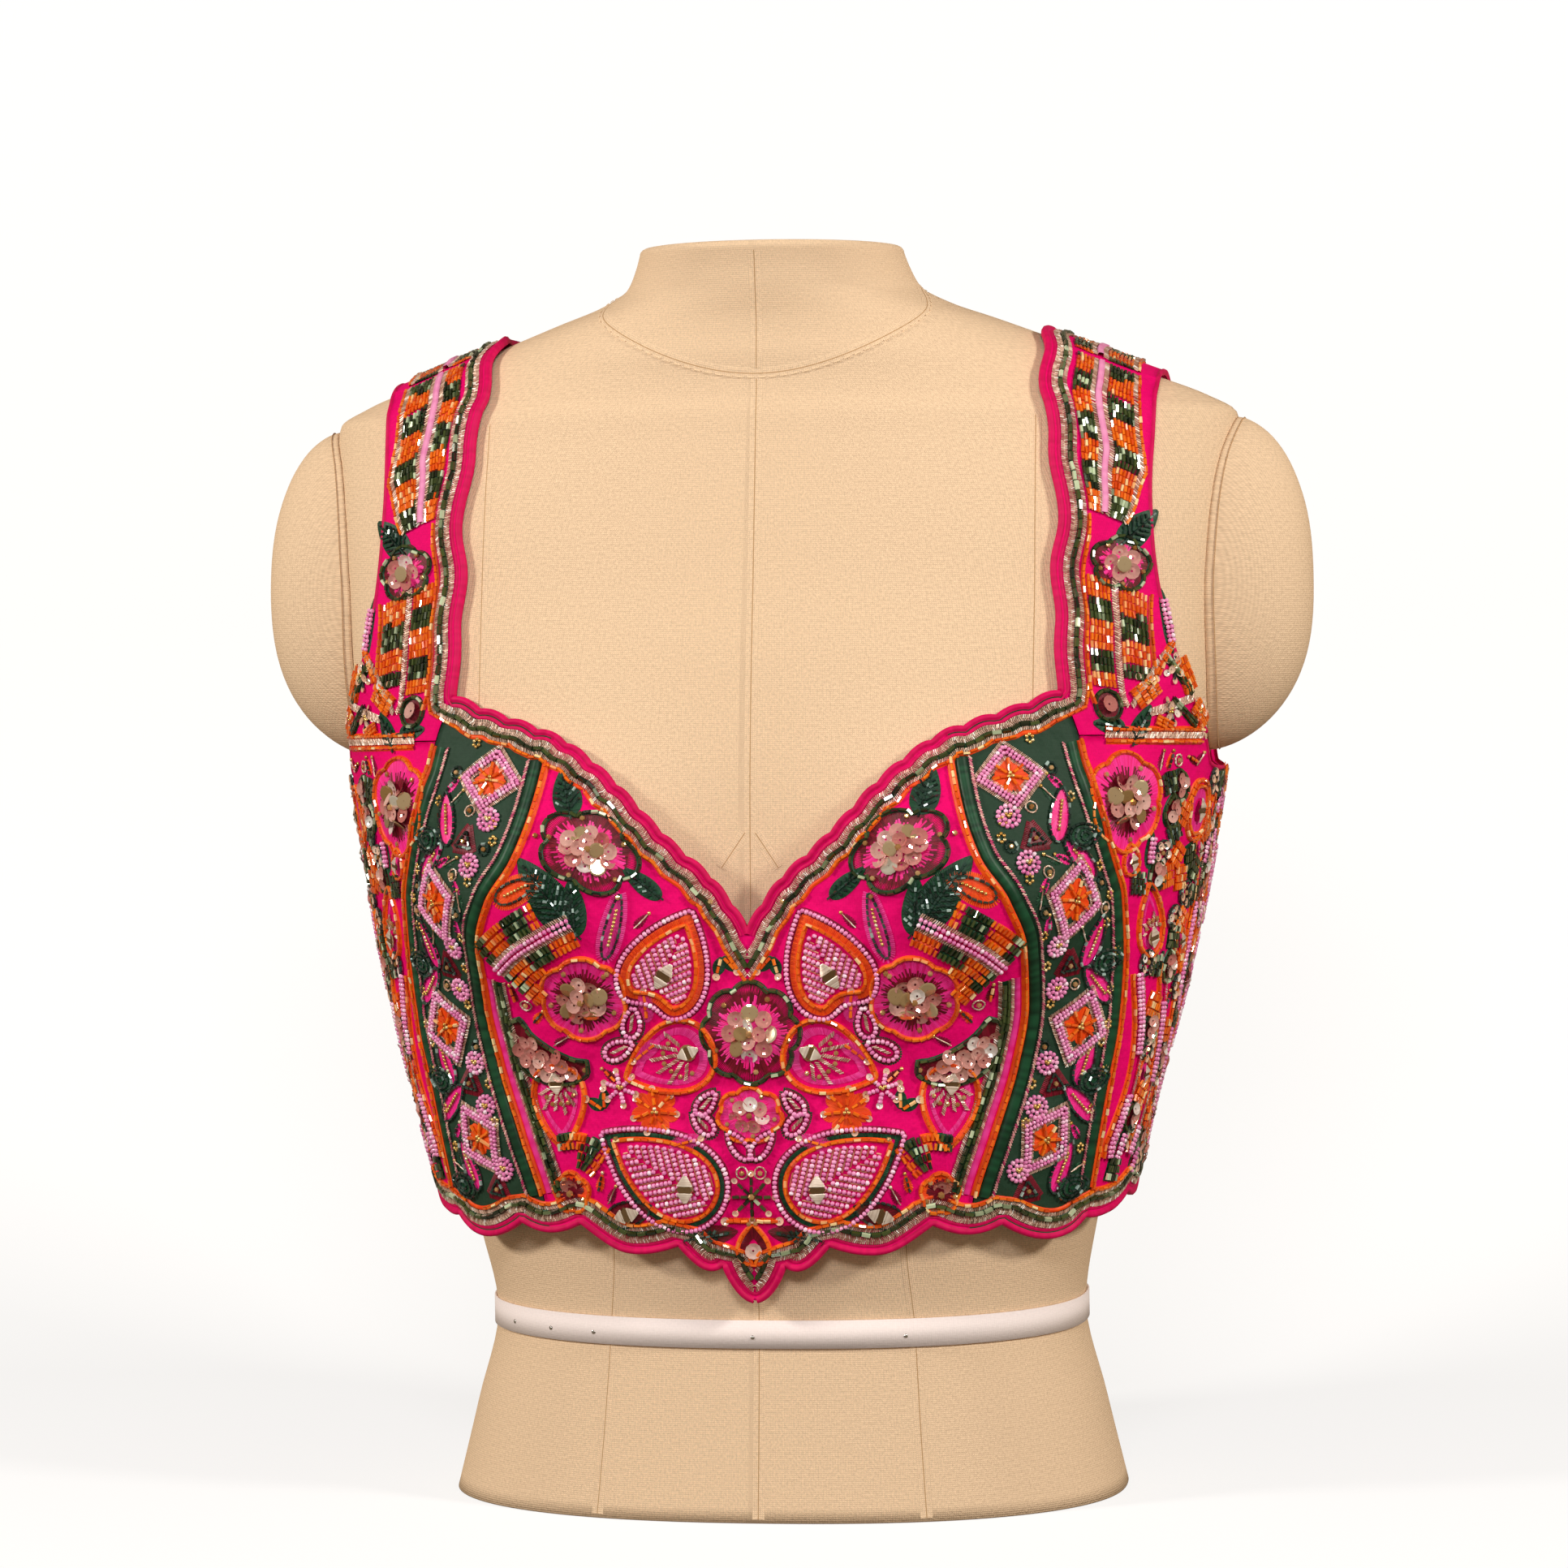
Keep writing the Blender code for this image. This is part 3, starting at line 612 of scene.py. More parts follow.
def beside(path, shift, closed=False):
    """The path moved sideways over the cloth, to the right of its way when seen from outside."""
    places, ahead, _ = spaced(path, 0.0009, closed)
    moved = places + np.cross(ahead, normals(places)) * shift
    if abs(shift) > 0.0012:
        gaps = np.linalg.norm(moved[:, None] - places[None, ::2], axis=-1).min(axis=1)
        moved = moved[gaps > abs(shift) * 0.97 - 0.0001]
    return moved


def row(kinds, path, shift=0.0, lift=0.0, closed=False, block=None, start=0.0, slant=0.0,
        both=True, pitch=None, stagger=0.0, size=1.0, skip=None):
    """Sews a row along a path; with a block length, the kinds take turns along it."""
    kinds = (kinds,) if isinstance(kinds, str) else kinds
    if shift:
        path = beside(path, shift, closed)
    if len(path) < 2:
        return
    height, usual = KINDS[kinds[0]][3:5]
    step = (pitch or usual) * size
    places, ahead, at = spaced(path, step, closed)
    if stagger:
        keep = at + stagger * step < at[-1] + step * 0.3
        places = (places + ahead * stagger * step)[keep]
        ahead = ahead[keep]
        at = at[keep]
    places = settled(places)
    up = normals(places)
    slants = np.radians(slant + RANDOM.normal(0, 3.5, len(places)))
    side = np.cross(up, ahead)
    along = ahead * np.cos(slants)[:, None] + side * np.sin(slants)[:, None]
    high = wall_top(places) + lift + height * 0.42 + RANDOM.normal(0, 0.00006, len(places))
    places = places + up * high[:, None]
    sizes = size * RANDOM.uniform(0.95, 1.04, len(places))
    if skip is not None:
        keep = ~skip(at)
        places, along, up, sizes, at = (v[keep] for v in (places, along, up, sizes, at))
    roll = RANDOM.normal(0, 0.24, (len(places), 1))
    nod = RANDOM.normal(0, 0.09, (len(places), 1))
    up = unit(up + np.cross(up, along) * roll + along * nod)
    which = np.zeros(len(at), int)
    if block:
        which = (((at + start) // block) % len(kinds)).astype(int)
    for i, kind in enumerate(kinds):
        mine = which == i
        stitched(kind, places[mine], along[mine], up[mine], sizes[mine], both)


def threads(colour, starts, ends, width=0.00086, height=0.00045, lift=0.0, both=True):
    """Satin stitches from starts to ends, each a small rounded strip on the cloth."""
    starts = np.atleast_2d(starts)
    ends = np.atleast_2d(ends)
    stations = np.array((0.0, 0.5, 1.0))
    line = starts[:, None] + (ends - starts)[:, None] * stations[None, :, None]
    line = settled(line)
    up = normals(line)
    ahead = unit(ends - starts)[:, None] + 0 * line
    side = unit(np.cross(ahead, up))
    bulge = np.array((0.6, 1.0, 0.6)) * height
    base = line + up * (wall_top(line) + lift)[..., None]
    widths = np.array((0.4, 0.5, 0.4)) * width
    left = base - side * widths[:, None] + up * 0.00004
    right = base + side * widths[:, None] + up * 0.00004
    top = base + up * bulge[:, None]
    points = np.stack((left, top, right), axis=2)
    count = len(points)
    tints = np.repeat(RANDOM.uniform(0, 1, count), 9)
    faces = grid_faces(3, 3)[None] + 9 * np.arange(count)[:, None, None]
    for flip in (1.0, -1.0) if both else (1.0,):
        heap = SATIN.setdefault(colour, Heap())
        heap.add(points * np.array((flip, 1, 1)), faces.reshape(-1, 4), tints)


def ribbon(heap, path, profile, closed=False, both=True, radius_of=cloth_radius,
           base=wall_top, pitch=0.0009):
    """A raised strip along a path; the profile's rows are (sideways, height)."""
    places, ahead, at = spaced(path, pitch, closed)
    up = normals(places, radius_of)
    side = np.cross(ahead, up)
    profile = np.array(profile)
    across = places[:, None] + side[:, None] * profile[:, 0][None, :, None]
    across = settled(across, radius_of)
    level = base(across) + profile[:, 1][None, :]
    points = across + up[:, None] * level[..., None]
    tints = np.repeat(RANDOM.uniform(0, 1, len(places)), len(profile))
    spots = np.stack(np.broadcast_arrays(at[:, None], profile[:, 0][None, :]), axis=-1)
    faces = grid_faces(len(places), len(profile), along=closed)
    for flip in (1.0, -1.0) if both else (1.0,):
        heap.add(points * np.array((flip, 1, 1)), faces, tints, spots)


def ground(colour, path, first, last, lift=0.0, height=0.0006, both=True, closed=False):
    """A flat satin strip beside a path, from one shift to another, under rows of beads."""
    soft = min(0.0004, (last - first) / 4)
    profile = ((first, -0.0002), (first + soft, height + lift), (last - soft, height + lift),
               (last, -0.0002))
    heap = GROUNDS.setdefault(colour, Heap())
    ribbon(heap, path, profile, both=both, closed=closed, pitch=0.0015)


# Places on the cloth


class Site:
    """A spot on the cloth with its own directions: u to the side, v up."""

    def __init__(self, place, tilt=0.0, v_way=(0, 0, 1), both=True):
        self.place = settled(np.asarray(place, float).reshape(1, 3))[0]
        self.up = normals(self.place)
        self.both = both
        u_way = unit(np.cross(v_way, self.up))
        v_way = np.cross(self.up, u_way)
        lean = math.radians(tilt)
        self.u = u_way * math.cos(lean) + v_way * math.sin(lean)
        self.v = v_way * math.cos(lean) - u_way * math.sin(lean)

    def lay(self, spots):
        """Spots given as (u, v) laid on the cloth."""
        spots = np.asarray(spots, float)
        flat = self.place + spots[..., :1] * self.u + spots[..., 1:] * self.v
        return settled(flat)

    def put(self, kind, spots, lift=0.0, size=1.0, tilt=10.0, ways=None):
        """Sews single pieces at spots, leaning a little as sewn pieces do."""
        places = self.lay(spots)
        up = normals(places)
        lean = RANDOM.normal(0, math.radians(tilt), (len(places), 2))
        side = np.cross(up, self.u)
        top = unit(up + lean[:, :1] * self.u + lean[:, 1:] * side)
        if ways is None:
            ways = RANDOM.uniform(0, 2 * math.pi, len(places))
        ways = np.asarray(ways, float)[:, None]
        along = np.cos(ways) * self.u + np.sin(ways) * self.v
        along = unit(along - top * (along * top).sum(-1, keepdims=True))
        places = places + up * (wall_top(places) + lift)[:, None]
        stitched(kind, places, along, top, size, self.both)


def at_front(out, height, tilt=0.0, both=True):
    """A site this far out from the centre front, at this height."""
    return Site(on_surface(cloth_radius, angle_at(out, height), height), tilt, both=both)


def ring_spots(radius_u, radius_v, count, start=0.0):
    """Spots on an oval."""
    turns = turned(count, start)
    return np.stack((radius_u * np.sin(turns), radius_v * np.cos(turns)), axis=-1)


def lobed(width, height, lobes, depth, start=0.0):
    """A flower's outline."""
    turns = turned(OUTLINE_POINTS)
    reach = 1 - depth + depth * np.abs(np.cos(lobes * (turns - start) / 2)) ** 0.7
    return np.stack((width * reach * np.sin(turns), height * reach * np.cos(turns)), axis=-1)


def pear(width, height, point, notch=0.0):
    """A leaf or paisley outline with its tip up, and a notch at its foot."""
    turns = turned(OUTLINE_POINTS)
    swell = np.sin(turns) * np.sin(turns / 2) ** point
    swell = swell / np.abs(swell).max()
    v = height * np.cos(turns) + notch * np.exp(-(((turns - math.pi) / 0.32) ** 2))
    return np.stack((width * swell, v), axis=-1)


def upright(low, high, count):
    """Spots in a straight line up the middle of a motif."""
    return np.stack((np.zeros(count), np.linspace(low, high, count)), axis=-1)


def inset(outline, distance):
    """A closed outline moved inwards."""
    ahead = unit(np.roll(outline, -1, axis=0) - np.roll(outline, 1, axis=0))
    area = np.sum(outline[:, 0] * np.roll(outline[:, 1], -1))
    area = area - np.sum(outline[:, 1] * np.roll(outline[:, 0], -1))
    inward = np.stack((-ahead[:, 1], ahead[:, 0]), axis=-1) * np.sign(area)
    moved = outline + inward * distance
    gaps = np.linalg.norm(moved[:, None] - outline[None], axis=-1).min(axis=1)
    return moved[gaps > distance * 0.96]


def within(outline, spots):
    """Whether spots are inside a closed outline."""
    x, y = spots[..., 0], spots[..., 1]
    inside = np.zeros(x.shape, bool)
    ends = np.roll(outline, -1, axis=0)
    for (ax, ay), (bx, by) in zip(outline, ends):
        crosses = (ay > y) != (by > y)
        rise = by - ay if by != ay else 1e-12
        inside ^= crosses & (x < (bx - ax) * (y - ay) / rise + ax)
    return inside


# Embroidered motifs

HERRINGBONE_LEAN = 44.0
HERRINGBONE_GAP = 0.0037
FLOWER_HEART = ((0, 0), (0.0008, 0.0008), (-0.0009, 0.0006))
UNDER = {
    # kind: the satin under it, half its width, how high it stands
    "bugle_orange": ("satin_orange", 0.0011, 0.0006),
    "bugle_green": ("satin_green", 0.0011, 0.0006),
    # Under lilac beads the dark wine strip is partly couching thread and partly painted shadow beneath the
    # beads
    "bead_lilac": ("satin_wine", 0.0016, 0.0002),
}


def edge_row(kind, spot, outline, lift=0.0, size=1.0, slant=0.0):
    """A closed row along an outline at a site, with satin under bugles, and under lilac beads a dark wine
    strip that is partly couching and partly painted shadow.
    """
    if kind in UNDER:
        colour, half, height = UNDER[kind]
        ground(colour, spot.lay(outline), -half, half, lift=lift, height=height, both=spot.both,
               closed=True)
        lift = lift + 0.0003
    row(kind, spot.lay(outline), lift=lift, closed=True, both=spot.both, size=size, slant=slant)


def along_outline(outline, pitch):
    """Even spots along a closed outline, and the way it runs at each."""
    flat = np.concatenate((outline, np.zeros((len(outline), 1))), axis=1)
    rim, ahead, _ = spaced(flat, pitch, True)
    return rim[:, :2], ahead


def radial_satin(colour, spot, outline, inner, outer, ragged=0.0, lift=0.0, pitch=SATIN_PITCH):
    """Stitches fanning out inside an outline, between two shares of its reach."""
    rim, _ = along_outline(outline, pitch)
    spread = RANDOM.uniform(-ragged, ragged, (len(rim), 1))
    first = rim * np.maximum(inner + spread * 0.4, 0.02)
    last = rim * np.minimum(outer + spread, 1.0)
    threads(colour, spot.lay(first), spot.lay(last), lift=lift, both=spot.both)


def band_satin(colour, spot, outline, first, last):
    """A ring of stitches between two insets of an outline."""
    rim, ahead = along_outline(outline, SATIN_PITCH)
    inward = np.stack((ahead[:, 1], -ahead[:, 0]), axis=-1)
    threads(colour, spot.lay(rim + inward * first), spot.lay(rim + inward * last), both=spot.both)


def sequin_flower(spot, width, tall, lobes, outer, edge, rose, gold, depth=0.16,
                  inner="satin_pink", scale=1.0):
    """A padded flower with satin petals, standing sequins and small set stones."""
    outline = lobed(width, tall, lobes, depth)
    radial_satin(outer, spot, outline, 0.40, 0.98)
    petals = lobed(width, tall, lobes, depth * 1.3)
    radial_satin(inner, spot, petals, 0.10, 0.64, ragged=0.15, lift=0.0003)
    edge_row(edge, spot, outline, lift=0.0002)
    count = rose + gold
    turns = turned(count, RANDOM.uniform(0, 1))
    golden = np.zeros(count, bool)
    if gold:
        golden[(np.arange(gold) * count / gold).astype(int)] = True
    reach = 0.40
    spots = np.stack((np.sin(turns) * width * reach, np.cos(turns) * tall * reach), axis=-1)
    spot.put("sequin_rose", spots[~golden], lift=0.0012, size=scale, tilt=17)
    spot.put("disc_gold", spots[golden], lift=0.0016, size=scale, tilt=19)
    heaped = width > 0.015
    if heaped:
        close = ring_spots(width * 0.17, tall * 0.17, 4, RANDOM.uniform(0, 1))
        spot.put("sequin_rose", close[:3], lift=0.0028, size=scale * 0.9, tilt=18)
        spot.put("disc_gold", close[3:], lift=0.0030, size=scale * 0.85, tilt=14)
    spot.put("stone_gold", [(0, 0)], lift=0.0030 if heaped else 0.0016, size=scale)
    spot.put("stone_gold", ring_spots(width * 0.76, tall * 0.76, 5, 0.5), lift=0.0004,
             size=0.8 * scale)


def herringbone(spot, outline):
    """Slanting rows of lilac beads on both sides of a midrib, with fine thread between."""
    low, high = outline[:, 1].min(), outline[:, 1].max()
    lean = math.radians(HERRINGBONE_LEAN)
    for side in (1, -1):
        way = np.array((side * math.sin(lean), math.cos(lean)))
        level = low - 0.014
        count = 0
        while level < high:
            steps = np.linspace(0.0006, 0.035, 90)
            line = np.array((0.0, level)) + steps[:, None] * way
            keep = within(outline, line)
            if keep.sum() > 5:
                line = line[keep]
                if count % 2 == 0:
                    row("bead_lilac", spot.lay(line), both=spot.both, lift=0.0001)
                else:
                    pieces = spot.lay(line[::5])
                    threads("zari_fine", pieces[:-1], pieces[1:], width=0.00065, lift=0.0001,
                            both=spot.both)
            level += HERRINGBONE_GAP / 2
            count += 1


def mirror_plate(spot, place, way, size=1.0):
    """A six-sided mirror held by silver thread at both ends."""
    place = np.asarray(place, float)
    turn = math.radians(way)
    along = np.array((math.cos(turn), math.sin(turn)))
    side = np.array((-along[1], along[0]))
    spot.put("mirror", place[None], lift=0.0018, size=size, tilt=2, ways=[turn + math.pi / 2])
    for end in (1, -1):
        for k in range(9):
            reach = (0.0016 + 0.00042 * k) * size * end
            half = (0.0030 - 0.00027 * k) * size
            middle = place + along * reach
            ends = np.array((middle - side * half, middle + side * half))
            laid = spot.lay(ends)
            threads("zari", laid[:1], laid[1:], height=0.0005, lift=0.0023 - 0.0001 * k,
                    both=spot.both)


def bead_leaf(spot, width, tall, second, notch, mirror, turn):
    """A large leaf: lilac beads round it, a satin ring, bugles and a herringbone fill."""
    outline = pear(width, tall, 0.85, notch)
    edge_row("bead_lilac", spot, outline)
    if second == "satin_green":
        band_satin(second, spot, outline, 0.0014, 0.0030)
        edge_row("bugle_orange", spot, inset(outline, 0.0040))
        inner = inset(outline, 0.0056)
    else:
        band_satin(second, spot, outline, 0.0014, 0.0050)
        edge_row("bugle_orange", spot, inset(outline, 0.0044), lift=0.0003)
        inner = inset(outline, 0.0060)
    herringbone(spot, inner)
    mirror_plate(spot, (0.0, mirror * tall), turn)


def leaf(spot, length, width):
    """A dark green satin leaf with rows of teal cut beads beside its midrib."""
    outline = pear(width, length, 0.7)
    flat = outline[outline[:, 0] > 0.0003]
    for side in (1, -1):
        ends = flat * (side, 1)
        starts = np.stack((0 * ends[:, 0], ends[:, 1] * 0.8 - 0.12 * length), axis=-1)
        threads("satin_green", spot.lay(starts), spot.lay(ends))
        way = np.array((side * 0.75, 0.66))
        for level in np.arange(-0.66, 0.66, 0.0025 / length):
            root = np.array((side * 0.0007, level * length))
            line = root + np.linspace(0, 0.02, 50)[:, None] * way
            line = line[within(outline * 0.86, line)]
            if len(line) > 4:
                row("cut_teal", spot.lay(line), lift=0.0003, size=0.92)
    rib = np.stack((np.zeros(20), np.linspace(-1.15, 0.8, 20) * length), axis=-1)
    row("cut_teal", spot.lay(rib), lift=0.0005, size=0.85)


def eye(spot, length, width, halo=None):
    """A slim leaf: an outline of beads, a bright middle and sometimes a satin halo."""
    outline = pear(width, length, 0.5)
    if halo:
        band_satin(halo, spot, outline, -0.0022, 0.0006)
    radial_satin(halo or "satin_pink", spot, outline, 0.1, 0.95)
    edge_row("cut_teal", spot, outline, lift=0.0003)
    middle = np.stack((np.zeros(12), np.linspace(-0.62, 0.55, 12) * length), axis=-1)
    row("bead_gold", spot.lay(middle), lift=0.0004, slant=20, size=0.9)


def bead_flower(spot, radius):
    """A small flower of two tight rings of lilac beads."""
    ring = ring_spots(radius, radius, 40)
    row("bead_lilac", spot.lay(ring), closed=True)
    row("bead_lilac", spot.lay(ring * 0.52), closed=True)
    spot.put("bead_gold", FLOWER_HEART, lift=0.0012)


def bead_star(spot, radius, kind):
    """A small star of six short rows of beads, a sequin at the tip of each."""
    for turn in turned(6, 0.2):
        way = np.array((math.sin(turn), math.cos(turn)))
        row(kind, spot.lay(way * np.linspace(radius * 0.25, radius, 12)[:, None]))
        spot.put("sequin_small", [way * radius * 1.12], lift=0.0006, size=0.8)
    spot.put("bead_gold", FLOWER_HEART, lift=0.0012)


def bugle_flower(spot, radius):
    """A flower of seven short satin petals with bugles along each."""
    radial_satin("satin_orange", spot, lobed(radius, radius, 7, 0.35), 0.1, 1.0)
    for turn in turned(7, 0.1):
        way = np.array((math.sin(turn), math.cos(turn)))
        line = way * np.linspace(radius * 0.2, radius * 0.95, 10)[:, None]
        row("bugle_orange", spot.lay(line), lift=0.0005)
    spot.put("bead_gold", ring_spots(0.0009, 0.0009, 3), lift=0.0014)


def diamond(spot, half_width, half_height):
    """A lozenge of two lilac rows and a silver one round an orange flower."""
    corners = np.array(((0, 1), (1, 0), (0, -1), (-1, 0), (0, 1)), float)

    def lozenge(shrink):
        half = np.array((half_width - shrink * 1.3, half_height - shrink * 1.45))
        return np.concatenate([
            np.linspace(a * half, b * half, 24, endpoint=False)
            for a, b in zip(corners, corners[1:])
        ])

    edge_row("zari_silver", spot, lozenge(-0.0013), slant=70, lift=0.0002, size=0.8)
    edge_row("bead_lilac", spot, lozenge(0.0002), size=0.88)
    edge_row("bead_lilac", spot, lozenge(0.0018), size=0.88)
    edge_row("zari_silver", spot, lozenge(0.0031), slant=70, size=0.75)
    bugle_flower(spot, min(half_width, half_height) * 0.62)


def satin_blocks(path, block, start, first, last, lift):
    """Satin beside a path in blocks of orange and green, to lie under bugles."""
    places, _, at = spaced(path, 0.0008)
    turns = ((at + start) // block).astype(int)
    for turn in np.unique(turns):
        piece = places[turns == turn]
        if len(piece) > 3:
            ground(("satin_orange", "satin_green")[turn % 2], piece, first, last, lift)


def stripes(path, block, start):
    """A row of bugles along a path, in blocks of orange and green."""
    satin_blocks(path, block, start, -0.0008, 0.0008, -0.0002)
    row(("bugle_orange", "bugle_green"), path, block=block, start=start)


def crescent(spot, radius):
    """A maroon half-moon, edged with green bugles and heaped with rose sequins."""
    turns = np.linspace(-1.3, 1.3, 40)
    outer = np.stack((np.sin(turns) * radius * 1.05, 0.35 * radius - np.cos(turns) * radius), axis=-1)
    back = np.linspace(1.3, -1.3, 30)[1:-1]
    hollow = np.stack((np.sin(back) * radius * 0.9,
                       0.42 * radius - np.cos(back) * radius * 0.30), axis=-1)
    outline = np.concatenate((outer, hollow))
    edge_row("bugle_green", spot, outline, lift=0.0002)
    rim, _ = along_outline(outline, 0.0005)
    inner = np.stack((rim[:, 0] * 0.8, np.full(len(rim), -0.12 * radius)), axis=-1)
    threads("satin_maroon", spot.lay(inner), spot.lay(rim * 0.97))
    for k, (share, count, reach) in enumerate(((0.80, 7, 0.98), (0.58, 5, 0.85), (0.38, 3, 0.80))):
        for turn in np.linspace(-reach, reach, count):
            way = np.array((math.sin(turn) * radius * share * 1.08,
                            0.35 * radius - math.cos(turn) * radius * share))
            spot.put("sequin_rose", [way], lift=0.0010 + 0.0006 * k, size=0.86, tilt=14)


def spiked_petal(spot, width, tall, mirror):
    """A petal outlined in orange bugles, with silver spikes and a mirror at its foot."""
    outline = pear(width, tall, 0.75)
    band_satin("satin_orange", spot, outline, -0.0006, 0.0016)
    edge_row("bugle_orange", spot, outline, lift=0.0003)
    radial_satin("satin_rose", spot, inset(outline, 0.0030), 0.78, 1.0)
    foot = np.array((0.0, mirror * tall))
    for turn in np.radians((-62, -34, -10, 12, 36, 62)):
        way = np.array((math.sin(turn), math.cos(turn)))
        line = foot + way * np.linspace(0.0042, tall * RANDOM.uniform(0.55, 0.85), 20)[:, None]
        line = line[within(inset(outline, 0.0028), line)]
        if len(line) > 4:
            row("zari_silver", spot.lay(line), slant=50, lift=0.0002)
            tip = line[len(line) // 2] + np.array((way[1], -way[0])) * 0.0022
            spot.put("stone_gold", [tip], lift=0.0004, size=0.7)
    spot.put("disc_gold", [foot], lift=0.0016, size=0.95, tilt=3)
    mirror_plate(spot, foot, 90.0, 0.8)


def triangle(spot, size):
    """A maroon three-cornered shape with green bugles and a gold bead."""
    corners = ring_spots(size, size, 3)
    outline = np.concatenate([
        np.linspace(a, b, 16, endpoint=False) for a, b in zip(corners, np.roll(corners, -1, axis=0))
    ])
    radial_satin("satin_maroon", spot, outline, 0.1, 1.0)
    band_satin("satin_maroon", spot, outline, -0.0016, 0.0010)
    edge_row("cut_teal", spot, outline * 0.66, lift=0.0003)
    spot.put("stone_gold", [(0, 0)], lift=0.0010, size=0.7)


def sprig(spot):
    """Two small orange bugle stems on green satin leaves."""
    length = 0.0085
    for side in (1, -1):
        way = np.array((side * 0.5, 0.87))
        half = np.array((way[1], -way[0])) * 0.0024
        steps = np.linspace(0.1, 1, 26)[:, None]
        middle = way * length * steps
        swell = np.sin(math.pi * steps)
        threads("satin_green", spot.lay(middle - half * swell), spot.lay(middle + half * swell))
        stem = way * np.linspace(0.001, length * 0.8, 12)[:, None]
        row("bugle_orange", spot.lay(stem), lift=0.0004)
        spot.put("sequin_small", [way * length * 0.98], lift=0.0008, size=0.9)


# Paths that borders and seams follow


def seam_line(column, low, high, count=120):
    """A band seam on the left side, from low to high."""
    heights = np.linspace(low, high, count)
    angles = angle_at(table(BAND_SEAMS, column, heights), heights)
    return on_surface(cloth_radius, angles, heights)


def strap_points(along, share):
    """Points of the left strap: along it from front to back, across it from inner to outer."""
    turns = np.linspace(0, math.pi, 240)
    middle = over_shoulder(np.full_like(turns, 0.133), turns)
    length = run_lengths(middle)
    turn = np.interp(along, length / length[-1], turns)
    wave = STRAP_WAVE_DEPTH * np.sin(2 * math.pi * STRAP_WAVES * along)
    fade = np.clip(np.minimum(along - 0.05, 1 - along) / 0.06, 0, 1)
    free_inner = table(STRAP, 1, along) + wave * fade
    outer_edge = table(STRAP, 2, along)
    inner_edge = free_inner
    for _ in range(8):
        height = over_shoulder(inner_edge, turn)[..., 2]
        on_band = table(BAND_SEAMS, 2, height) + SEAM_GAP / 2
        by_seam = (along < 0.2) & (height < CORNER_HEIGHT)
        inner_edge = np.where(by_seam, on_band, free_inner)
    outs = inner_edge * (1 - share) + outer_edge * share
    return over_shoulder(outs, turn + 0 * outs)


def strap_edge(share):
    """A line along the whole left strap at a share of its width."""
    return strap_points(np.linspace(0, 1, 260), share)


def strap_line(shift, start, end, count=160):
    """A line along the left strap at a distance from its inner edge."""
    along = np.linspace(start, end, count)
    width = table(STRAP, 2, along) - table(STRAP, 1, along)
    return strap_points(along, np.clip(shift / width, 0, 1))


def front_neck_line():
    """The front neckline from the centre to the strap corner."""
    outs = np.linspace(0.0, NECKLINE[-1, 0], 260)
    heights = neckline_height(outs)
    return on_surface(cloth_radius, angle_at(outs, heights), heights)


def neck_path():
    """The whole neck edge of the left side, centre front to centre back."""
    strap = strap_edge(0.0)
    strap = strap[(strap[:, 2] > CORNER_HEIGHT + 0.001) | (strap[:, 1] > 0)]
    angles = np.radians(np.linspace(134.0, 180.0, 120))
    back = on_surface(cloth_radius, angles, table(BACK_TOP, 1, np.degrees(angles)))
    return np.concatenate((front_neck_line(), strap, back))


def hem_path():
    """The hem of the left side, centre back to centre front."""
    angles = np.linspace(math.pi, 0.0, 700)
    return on_surface(cloth_radius, angles, hem_height(angles))


# Materials


def add_node(tree, kind, values=(), wires=(), **settings):
    """A new shader node: its settings, the values on its inputs and the wires into them."""
    node = tree.nodes.new("ShaderNode" + kind)
    for name, value in settings.items():
        setattr(node, name, value)
    for socket, value in dict(values).items():
        node.inputs[socket].default_value = value
    for socket, output in dict(wires).items():
        tree.links.new(output, node.inputs[socket])
    return node


def finish(name, colour, second=None, painted_glint=None, roughness=0.5, metallic=0.0, coat=0.0,
           alpha=1.0, shine=0.5):
    """A plain finish; with a second colour, each sewn piece has its own mix, and with a third colour a few
    pieces get a painted highlight, near white.
    """
    material = bpy.data.materials.new(name)
    material.use_nodes = True
    tree = material.node_tree
    shader = tree.nodes["Principled BSDF"]
    shader.inputs["Base Color"].default_value = (*colour, 1.0)
    shader.inputs["Roughness"].default_value = roughness
    shader.inputs["Metallic"].default_value = metallic
    shader.inputs["Specular IOR Level"].default_value = shine
    shader.inputs["Coat Weight"].default_value = coat
    shader.inputs["Coat Roughness"].default_value = 0.05
    shader.inputs["Alpha"].default_value = alpha
    if second:
        tint = add_node(tree, "Attribute", attribute_name="tint")
        ramp = add_node(tree, "ValToRGB", wires={"Fac": tint.outputs["Fac"]})
        stops = ramp.color_ramp.elements
        stops[0].color = (*colour, 1.0)
        stops[1].color = (*second, 1.0)
        # A few pieces at random get a near-white third colour: a painted highlight.
        if painted_glint:
            stops[1].position = 0.84
            stops.new(0.97).color = (*painted_glint, 1.0)
        tree.links.new(ramp.outputs["Color"], shader.inputs["Base Color"])
    return material


